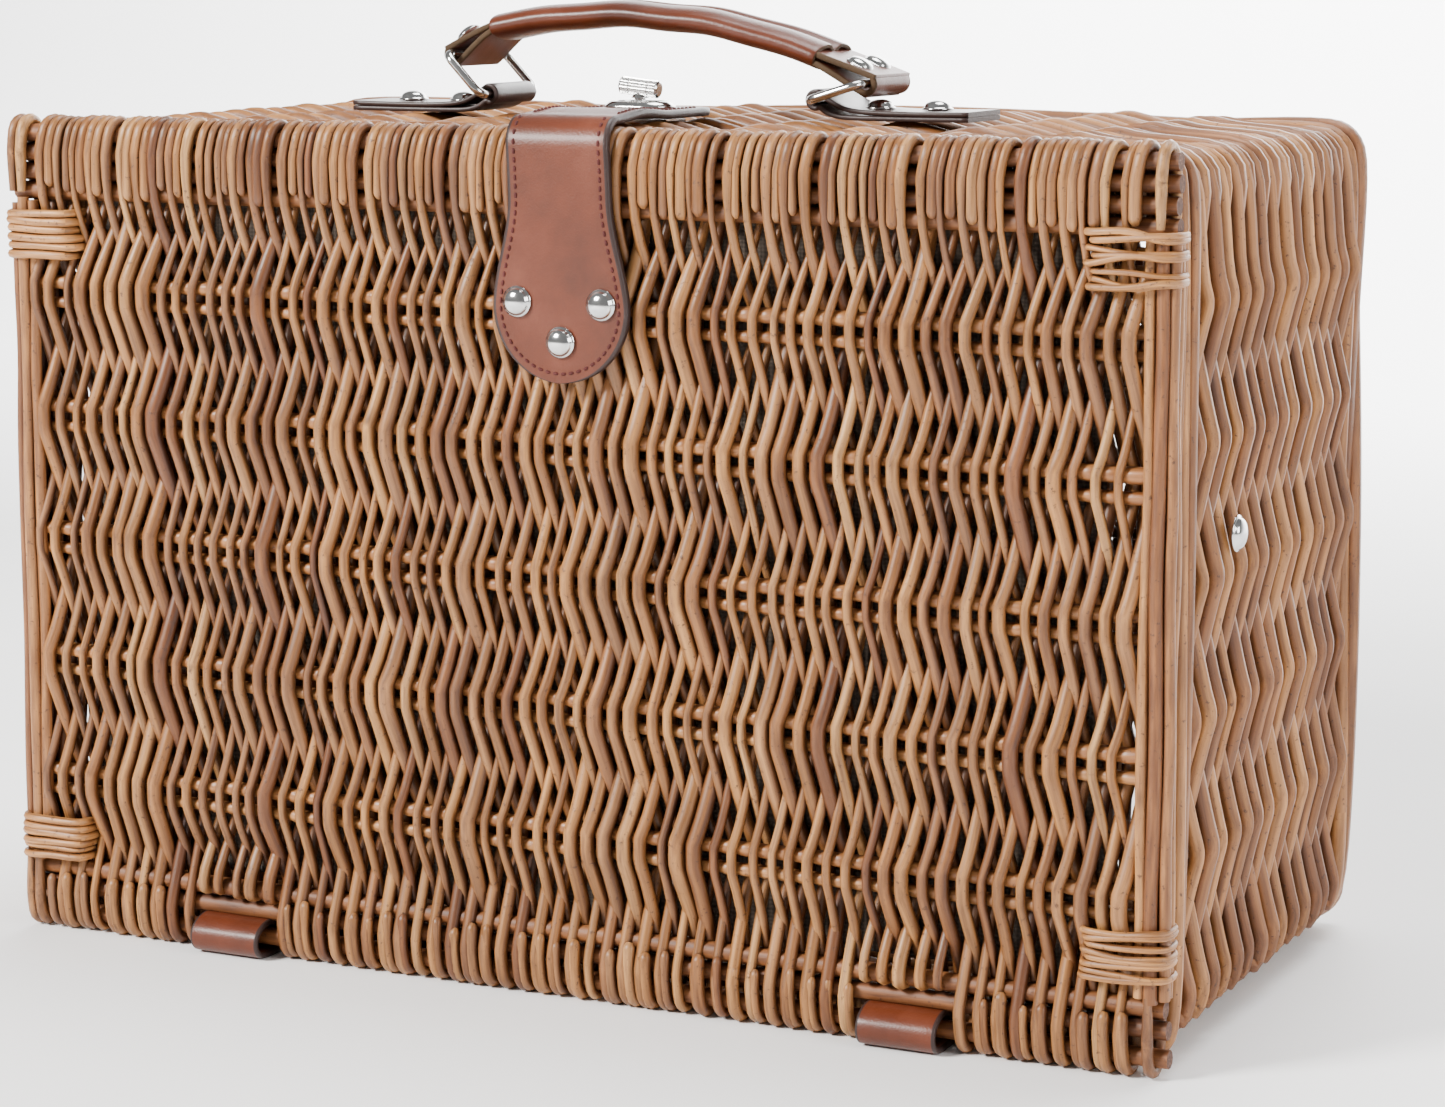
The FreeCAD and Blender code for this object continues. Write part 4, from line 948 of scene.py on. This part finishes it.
def stitches(name, spots):
    """Stitches of dark thread, each sunk into its two holes: (middle, half a stitch, outward)."""
    runs = []
    for here, along, out in spots:
        sunk, proud = out * 0.45 * MM, out * 0.12 * MM
        bed = (
            here - along * 1.1 - sunk, here - along + proud, here + along + proud, here + along * 1.1 - sunk,
        )
        runs.append(([(*spot, 0.5 * MM) for spot in bed], False))
    return lay_rods(name, runs, thread_red, thread_red, sides=1, steps=3)


SEAM = 3.1 * MM


def clasp_seam(first, last, pitch=2.75 * MM):
    """Stitches along both edges of the clasp leather between two runs."""
    spots = []
    for side in (-1, 1):
        for i in range(int((last - first) / pitch)):
            run = first + pitch * (i + 0.5)
            near, far = run - 0.2 * MM, run + 0.2 * MM
            ends = [clasp_at(r) + Vector((side * (clasp_half(r) - SEAM), 0, 0)) for r in (near, far)]
            ahead = (ends[1] - ends[0]).normalized()
            out = Vector((1, 0, 0)).cross(clasp_at(far) - clasp_at(near)).normalized()
            here = (ends[0] + ends[1]) / 2 + out * CLASP_LEATHER / 2
            spots.append((here, ahead * 0.55 * MM, out))
    return spots


foot_spots = []
for i in range(24):
    angle = math.pi * (1 + (i + 0.5) / 24)
    reach = FOOT_HALF - SEAM
    run = FOOT_HALF + reach * math.sin(angle)
    here = clasp_at(run) + Vector((reach * math.cos(angle), -CLASP_LEATHER / 2, 0))
    along = Vector((-math.sin(angle), 0, math.cos(angle))) * 0.55 * MM
    foot_spots.append((here, along, Vector((0, -1, 0))))
lid_stitches = stitches("clasp_front_stitches", foot_spots + clasp_seam(FOOT_HALF, TO_FOLD - 1 * MM))
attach(lid_stitches, "lid")
tail_stitches = stitches("clasp_tail_stitches", clasp_seam(TO_FOLD + 6 * MM, CLASP_RUN - 8 * MM))
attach(tail_stitches, "clasp")

# ------------------------------------------------------------------ rivets and studs
# The leathers are held with steel rivets: a bright domed head with a thin turned edge outside
# and a flat washer inside. Larger ones stand on the end walls.


def bright_steel(name, tone=0.64, rough=0.12):
    """Polished nickel-plated steel with faint scuffs."""
    material, shader, add, wire, ramp, mix, noise, bump = new_material(name)
    shader.inputs["Metallic"].default_value = 1.0
    place = add("ShaderNodeTexCoord")
    scuffs = noise(place.outputs["Object"], Scale=420.0, Detail=5.0, Roughness=0.7)
    shade = ramp(scuffs, (0.3, (tone * 0.86,) * 3), (0.6, (tone, tone * 0.99, tone * 0.97)))
    wire(shade, shader.inputs["Base Color"])
    level = add("ShaderNodeMapRange")
    level.inputs["To Min"].default_value = rough * 0.6
    level.inputs["To Max"].default_value = rough * 1.8
    wire(scuffs, level.inputs["Value"])
    wire(level.outputs[0], shader.inputs["Roughness"])
    wire(bump(scuffs, 0.08, 0.0002), shader.inputs["Normal"])
    return material


steel = bright_steel("bright_steel")


def domed_heads(name, seats):
    """Domed rivet heads: each a turned profile with a thin brim, on its seat."""
    heads = bmesh.new()
    for spot, way, radius, height in seats:
        head = bmesh.new()
        profile = [(0.0, height)]
        profile += [
            (radius * 0.86 * math.sin(a), 0.28 * height + 0.72 * height * math.cos(a))
            for a in [math.radians(d) for d in (18, 36, 54, 72, 90)]
        ]
        profile += [(radius * 0.9, 0.22 * height), (radius, 0.16 * height), (radius, 0.0)]
        profile.append((radius * 0.5, -0.3 * MM))
        verts = [head.verts.new((r, 0, h)) for r, h in profile]
        edges = [head.edges.new(pair) for pair in zip(verts, verts[1:])]
        bmesh.ops.spin(
            head, geom=verts + edges, cent=(0, 0, 0), axis=(0, 0, 1),
            angle=2 * math.pi, steps=32, use_merge=True,
        )
        bmesh.ops.remove_doubles(head, verts=head.verts, dist=1e-6)
        bmesh.ops.holes_fill(head, edges=[e for e in head.edges if e.is_boundary], sides=0)
        bmesh.ops.recalc_face_normals(head, faces=head.faces)
        turn_to = Vector(way).to_track_quat("Z", "Y").to_matrix().to_4x4()
        bmesh.ops.transform(head, matrix=Matrix.Translation(Vector(spot)) @ turn_to, verts=head.verts)
        part = bpy.data.meshes.new("head")
        head.to_mesh(part)
        head.free()
        heads.from_mesh(part)
        bpy.data.meshes.remove(part)
    return from_work(name, heads, steel)


HEAD = 5 * MM
HEAD_RISE = 3.1 * MM
RIVET_SIDE, RIVET_HIGH, RIVET_LOW = 14.8 * MM, 225.2 * MM, 213 * MM
clasp_heads = domed_heads("clasp_rivet_heads", [
    ((FOOT_X + x, face_y - CLASP_LEATHER / 2, z), (0, -1, 0), HEAD, HEAD_RISE)
    for x, z in ((-RIVET_SIDE, RIVET_HIGH), (RIVET_SIDE, RIVET_HIGH), (0.5 * MM, RIVET_LOW))
])
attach(clasp_heads, "lid")
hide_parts("clasp_rivets")

STUD_HEAD, STUD_RISE = 5.75 * MM, 3.0 * MM
STUD_Y, STUD_Z = -41.7 * MM, 158 * MM
studs = domed_heads("side_stud_heads", [
    ((sign * (wall_high.x + 0.4 * MM), STUD_Y, STUD_Z), (sign, 0, 0), STUD_HEAD, STUD_RISE)
    for sign in (-1, 1)
])
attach(studs, "basket")
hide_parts("side_studs")

HANDLE_Y = -16 * MM
TAB_TOP = 283.6 * MM
TAB_RIVETS = (77 * MM, 97 * MM)
tab_heads = domed_heads("tab_rivet_heads", [
    ((sign * x, HANDLE_Y, TAB_TOP), (0, 0, 1), HEAD, HEAD_RISE)
    for sign in (-1, 1) for x in TAB_RIVETS
])
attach(tab_heads, "basket")
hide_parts("tab_rivets")

for node in ("tab_washers", "side_stud_washers", "clasp_washers", "turnlock_backing", "hinge_rivets",
             "turnlock_base", "ring_left", "ring_right"):
    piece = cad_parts[node]
    piece.data.materials.clear()
    piece.data.materials.append(steel)

# ------------------------------------------------------------------ turn-lock
# A pressed steel eyelet with a raised rim is clenched through the slot of the clasp's tail. The
# knob is a short knurled steel bar on a pin that turns in a boss let into the wall.

eye = bmesh.new()
plate_top = eye_high.z + 0.3 * MM
eye_section = (
    (8.4, 4.4, -2.6), (8.4, 4.4, 0.3), (8.7, 4.7, 0.8), (9.3, 5.3, 0.9), (10.4, 6.3, 0.6),
    (12.0, 8.0, -0.7), (12.0, 8.0, -1.3), (9.2, 5.2, -1.3), (9.0, 5.0, -2.6),
)
for half_length, half_width, height in eye_section:
    slot_loop(eye, half_length * MM, half_width * MM, plate_top + height * MM)
loops = [eye.edges[i * LOOP_SPOTS:(i + 1) * LOOP_SPOTS] for i in range(len(eye_section))]
for number, loop in enumerate(loops):
    bmesh.ops.bridge_loops(eye, edges=loop + loops[(number + 1) % len(loops)])
bmesh.ops.recalc_face_normals(eye, faces=eye.faces)
eyelet = from_work("eyelet_plate", eye, steel)
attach(eyelet, "clasp")
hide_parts("clasp_eyelet")

BAR_RADIUS, BAR_LENGTH, BAR_TILT = 2.9 * MM, 13 * MM, 6
BAR_GROOVE = 3.4 * MM     # from the middle of the bar to the end of its knurling
KNOB_Z, PIN_Z, NECK_Z = 290 * MM, 284.6 * MM, 287.2 * MM
knob = bmesh.new()
bmesh.ops.create_cone(
    knob, cap_ends=True, segments=36, radius1=BAR_RADIUS, radius2=BAR_RADIUS, depth=BAR_LENGTH,
)
caps = [f for f in knob.faces if len(f.verts) > 4]
bmesh.ops.inset_region(knob, faces=caps, thickness=0.7 * MM, depth=0.5 * MM)
for groove in (BAR_GROOVE, -BAR_GROOVE):
    geom = knob.verts[:] + knob.edges[:] + knob.faces[:]
    bmesh.ops.bisect_plane(knob, geom=geom, plane_co=(0, 0, groove), plane_no=(0, 0, 1))
knob.normal_update()
flutes = [f for f in knob.faces if len(f.verts) == 4 and abs(f.normal.z) < 0.1 and f.calc_area() > 1.4e-6]
bmesh.ops.inset_individual(knob, faces=flutes, thickness=0.09 * MM, depth=-0.3 * MM)
for turn in (math.radians(BAR_TILT), math.pi / 2):
    bmesh.ops.rotate(knob, cent=(0, 0, 0), matrix=Matrix.Rotation(turn, 3, "Y"), verts=knob.verts)
bmesh.ops.translate(knob, vec=(LOCK_X, LOCK_Y, KNOB_Z), verts=knob.verts)
for foot, head, depth, z in (
    (1.88 * MM, 1.88 * MM, 8.6 * MM, PIN_Z),
    (3.0 * MM, 2.2 * MM, 1.2 * MM, NECK_Z),
):
    bmesh.ops.create_cone(
        knob, cap_ends=True, segments=24, radius1=foot, radius2=head, depth=depth,
        matrix=Matrix.Translation((LOCK_X, LOCK_Y, z)),
    )
knob_bar = from_work("turnlock_bar", knob, steel, smooth=False)
soft = knob_bar.modifiers.new("worn edges", "BEVEL")
soft.width = 0.15 * MM
soft.segments = 2
soft.limit_method = "ANGLE"
soft.angle_limit = math.radians(40)
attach(knob_bar, "knob")
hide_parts("turnlock_knob")

# ------------------------------------------------------------------ hinge leathers
# Two leather straps hinge the lid. Each loops loosely round the lid's lowest rod, runs back under
# the wall and is riveted through it; the loop and its stitches are each given a mesh of their own.

HINGE_LEATHER = 2.0 * MM
HINGE_STRIP_HALF, HINGE_SEAM = 13.2 * MM, 10.2 * MM
for number, sign in enumerate((-1, 1)):
    def under(y, z):
        return Vector((sign * HINGE_MID, lid_mid + y * MM, z * MM))

    tail = leather_strip(
        ("hinge_tail_left", "hinge_tail_right")[number],
        smooth_path([under(44, 2.1), under(33, 2.1), under(22, 2.0), under(11, 1.7), under(8.1, 1.6)], 24),
        lambda share: HINGE_STRIP_HALF, HINGE_LEATHER, (strap_brown, dark_edge), side=(-1, 0, 0),
    )
    line = [
        under(8, 1.6), under(3, 1.3), under(-4, 1.2),
        under(-8.3, 2.1), under(-10.6, 5.0), under(-9.9, 8.6), under(-6.6, 11.0), under(-2.4, 11.9),
        under(1.6, 11.1), under(4.3, 8.8), under(5.4, 6.0),
    ]
    strap = leather_strip(
        ("hinge_leather_left", "hinge_leather_right")[number], smooth_path(line, 66),
        lambda share: HINGE_STRIP_HALF, HINGE_LEATHER, (strap_brown, dark_edge), side=(-1, 0, 0),
    )
    for leather in (tail, strap):
        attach(leather, "basket")
        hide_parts("hinge_straps")
    hinge_path = smooth_path(line[2:9], 13)
    hinge_spots = []
    for here, ahead in zip(hinge_path[1:-1], hinge_path[2:]):
        along = (ahead - here).normalized()
        out = Vector((-1, 0, 0)).cross(along)
        for side in (-1, 1):
            spot = here + out * HINGE_LEATHER / 2 + Vector((side * HINGE_SEAM, 0, 0))
            hinge_spots.append((spot, along * 0.5 * MM, out))
    seam = stitches(("hinge_stitches_left", "hinge_stitches_right")[number], hinge_spots)
    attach(seam, "basket")
    for pressed in (strap, seam):
        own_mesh(pressed)

# ------------------------------------------------------------------ handle tabs
# The tabs that tie the handle to the basket are two layers of dark leather. Each loops round
# a ring's lower bar and lies outward along the wall under two rivets.

BAR_X, BAR_Z = 60 * MM, 286.5 * MM
TAB_LOOP, TAB_HALF, TAB_LAYER = 2.7 * MM, 13.6 * MM, 1.6 * MM
for number, sign in enumerate((-1, 1)):
    def at(x, z):
        return Vector((sign * x * MM, HANDLE_Y, z * MM))

    line = [at(113, 281.0), at(98, 280.9), at(82, 280.9), at(70, 281.1), at(64.5, 282.3)]
    for step in range(9):
        angle = math.radians(-60 - step * 30)
        x, z = BAR_X + TAB_LOOP * math.cos(angle), BAR_Z + TAB_LOOP * math.sin(angle)
        line.append(Vector((sign * x, HANDLE_Y, z)))
    line += [at(66, 285.6), at(72, 283.4), at(82, 282.6), at(98, 282.5), at(113, 282.7)]
    tab = leather_strip(
        ("handle_tab_leather_left", "handle_tab_leather_right")[number], smooth_path(line, 110),
        lambda share: TAB_HALF, TAB_LAYER, (tab_dark, dark_edge), side=(0, -sign, 0),
    )
    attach(tab, "basket")
    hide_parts(("handle_tab_left", "handle_tab_right")[number])

# ------------------------------------------------------------------ handle strap
# A doubled strap runs through the grip. Past each end of the sleeve it opens into a loop round
# a ring's upper bar, closed by two rivets side by side; its cut edges show raw tan.

ARC_X, ARC_Z, ARC_R = -15 * MM, 92.5 * MM, 220.5 * MM
left_bar = Vector((-72.78 * MM, HANDLE_Y, 299.74 * MM))
right_bar = Vector((77.60 * MM, HANDLE_Y, 291.88 * MM))


def on_arc(angle, lift=0.0):
    """A point of the grip's line at an angle from upright, clockwise."""
    reach = ARC_R + lift
    turned = math.radians(angle)
    return Vector((ARC_X + reach * math.sin(turned), HANDLE_Y, ARC_Z + reach * math.cos(turned)))


def bar_loop(bar, start, end, reach=3.0 * MM, steps=8):
    """Points round a ring's bar."""
    spots = []
    for i in range(steps + 1):
        angle = math.radians(start + (end - start) * i / steps)
        spots.append(Vector((bar.x + reach * math.cos(angle), bar.y, bar.z + reach * math.sin(angle))))
    return spots


strap_line = [on_arc(angle, 1.1 * MM) for angle in (4, 0, -4, -8, -11)]
strap_line += bar_loop(left_bar, 125, 305)
strap_line += [on_arc(angle, -1.1 * MM) for angle in (-11.5, -8, -4, 0, 4, 8, 12, 16, 19)]
strap_line += bar_loop(right_bar, -120, 62)
strap_line += [on_arc(angle, 1.1 * MM) for angle in (19, 16, 12, 8, 5)]
strap_path = smooth_path(strap_line, 230)


def strap_half(share):
    """Half the strap's width: full at the loops, narrower inside the sleeve."""
    spot = strap_path[round(share * (len(strap_path) - 1))]
    bare = max(0.0, min(1.0, (-spot.x - 52 * MM) / (8 * MM)), min(1.0, (spot.x - 52 * MM) / (8 * MM)))
    return (10.4 + 3.8 * bare) * MM


grip_strap = leather_strip(
    "handle_strap_leather", strap_path, strap_half, 2.0 * MM, (strap_brown, raw_edge), side=(0, -1, 0),
)
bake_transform(grip_strap)
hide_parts("handle_strap_left", "handle_strap_right")

# ------------------------------------------------------------------ handle sleeve
# The grip is one piece of glossy leather rolled over the strap from both sides. Its two edges
# meet along the top in a shallow groove, and two steel rivets close the strap past each end.

SLEEVE_LEFT, SLEEVE_RIGHT = -11.5, 19.9
sleeve = bmesh.new()
ring_verts = bmesh.ops.create_circle(sleeve, cap_ends=False, radius=1, segments=72)["verts"]
for vert in ring_verts:
    angle = math.atan2(vert.co.y, vert.co.x)
    across = math.copysign(abs(math.cos(angle)) ** 0.78, math.cos(angle)) * 14.4 * MM
    rise = math.copysign(abs(math.sin(angle)) ** 0.85, math.sin(angle)) * 4.5 * MM
    if rise > 0:
        rise *= 1.05 - 0.5 * math.exp(-(across / (2.6 * MM)) ** 2)
    vert.co = Vector((0, HANDLE_Y + across, rise))
lean = Matrix.Rotation(math.radians(SLEEVE_LEFT), 4, "Y")
start = Matrix.Translation((ARC_X, 0, ARC_Z)) @ lean @ Matrix.Translation((0, 0, ARC_R))
bmesh.ops.transform(sleeve, matrix=start, verts=ring_verts)
bmesh.ops.spin(
    sleeve, geom=ring_verts + sleeve.edges[:], cent=(ARC_X, HANDLE_Y, ARC_Z), axis=(0, 1, 0),
    angle=math.radians(SLEEVE_RIGHT - SLEEVE_LEFT), steps=60,
)
for vert in sleeve.verts:
    angle = math.degrees(math.atan2(vert.co.x - ARC_X, vert.co.z - ARC_Z))
    share = (angle - SLEEVE_LEFT) / (SLEEVE_RIGHT - SLEEVE_LEFT)
    vert.co.z += 0.35 * MM * math.sin(share * 23 + 40 * vert.co.y) * math.sin(share * math.pi)
    flare = max(0, abs(share - 0.5) - 0.42) * 8
    vert.co.y = HANDLE_Y + (vert.co.y - HANDLE_Y) * (1 + 0.05 * flare)
bmesh.ops.recalc_face_normals(sleeve, faces=sleeve.faces)
grip_sleeve = from_work("handle_sleeve_leather", sleeve, sleeve_brown, raw_edge, smooth=False)
body = grip_sleeve.modifiers.new("thickness", "SOLIDIFY")
body.thickness = 1.5 * MM
body.offset = -1
body.material_offset_rim = 1
soft = grip_sleeve.modifiers.new("rounded edges", "BEVEL")
soft.width = 0.4 * MM
soft.segments = 2
soft.limit_method = "ANGLE"
soft.angle_limit = math.radians(50)
grip_sleeve = finished(grip_sleeve)
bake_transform(grip_sleeve)
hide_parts("handle_sleeve")

GRIP_HEAD, GRIP_RISE, GRIP_SPREAD = 4.9 * MM, 2.5 * MM, 7 * MM
for number, (body_name, bar, angle, lean) in enumerate((
    ("left_grip", left_bar, -13.1, -44), ("right_grip", right_bar, 21.5, 26),
)):
    middle = (on_arc(angle) + bar) / 2
    way = Vector((math.sin(math.radians(lean)), 0, math.cos(math.radians(lean))))
    heads = domed_heads(("grip_rivet_heads_left", "grip_rivet_heads_right")[number], [
        (middle + way * 3.0 * MM + Vector((0, side * GRIP_SPREAD, 0)), way, GRIP_HEAD, GRIP_RISE)
        for side in (-1, 1)
    ])
    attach(heads, body_name)
    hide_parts(("handle_rivets_left", "handle_rivets_right")[number])

# ------------------------------------------------------------------ floor, light and camera
# The basket stands on a plain pale floor that curves up behind it, in soft light from a large
# panel at the upper left and a weaker one at the right.

floor = bmesh.new()
bmesh.ops.create_grid(floor, x_segments=1, y_segments=60, size=0.5)
for vert in floor.verts:
    depth = (vert.co.y + 0.5) * 9 - 4
    rise = 0.0 if depth < 1.5 else min(3.5, (depth - 1.5) ** 2 * 0.6)
    vert.co = (vert.co.x * 14, depth, rise)
paper, paper_shader = new_material("pale_paper")[:2]
paper_shader.inputs["Base Color"].default_value = (0.94, 0.94, 0.94, 1)
paper_shader.inputs["Roughness"].default_value = 0.9
studio_floor = from_work("studio_floor", floor, paper)


def area_light(name, place, aim, size, power, colour=(1, 1, 1)):
    """A soft panel light aimed at a point."""
    data = bpy.data.lights.new(name, "AREA")
    data.shape = "SQUARE"
    data.size = size
    data.energy = power
    data.color = colour
    light = bpy.data.objects.new(name, data)
    bpy.context.scene.collection.objects.link(light)
    light.location = place
    light.rotation_euler = (Vector(aim) - Vector(place)).to_track_quat("-Z", "Y").to_euler()
    return light


area_light("key_panel", (-1.3, -1.9, 1.5), (0, 0, 0.15), 0.7, 165, (1, 0.985, 0.955))
area_light("right_panel", (1.9, -0.5, 0.8), (0, 0, 0.15), 0.9, 26)
area_light("top_panel", (0.2, 0.4, 2.1), (0, 0, 0.2), 1.0, 50)
area_light("backdrop_panel", (0, 1.6, 2.4), (0, 4.5, 1.2), 2.0, 620)
world = bpy.data.worlds.new("studio")
bpy.context.scene.world = world
world.use_nodes = True
world.node_tree.nodes["Background"].inputs["Color"].default_value = (1, 1, 1, 1)
world.node_tree.nodes["Background"].inputs["Strength"].default_value = 0.3

camera_data = bpy.data.cameras.new("camera")
camera = bpy.data.objects.new("camera", camera_data)
bpy.context.scene.collection.objects.link(camera)
bpy.context.scene.camera = camera
yaw, pitch = math.radians(25.96), math.radians(8.03)
camera.location = (0.545, -1.0933, 0.3317)
forward = Vector((-math.sin(yaw) * math.cos(pitch), math.cos(yaw) * math.cos(pitch), -math.sin(pitch)))
camera.rotation_euler = forward.to_track_quat("-Z", "Y").to_euler()
camera_data.lens = 90.5
camera_data.sensor_width = 36
camera_data.shift_y = -0.0578
camera_data.clip_start = 0.01
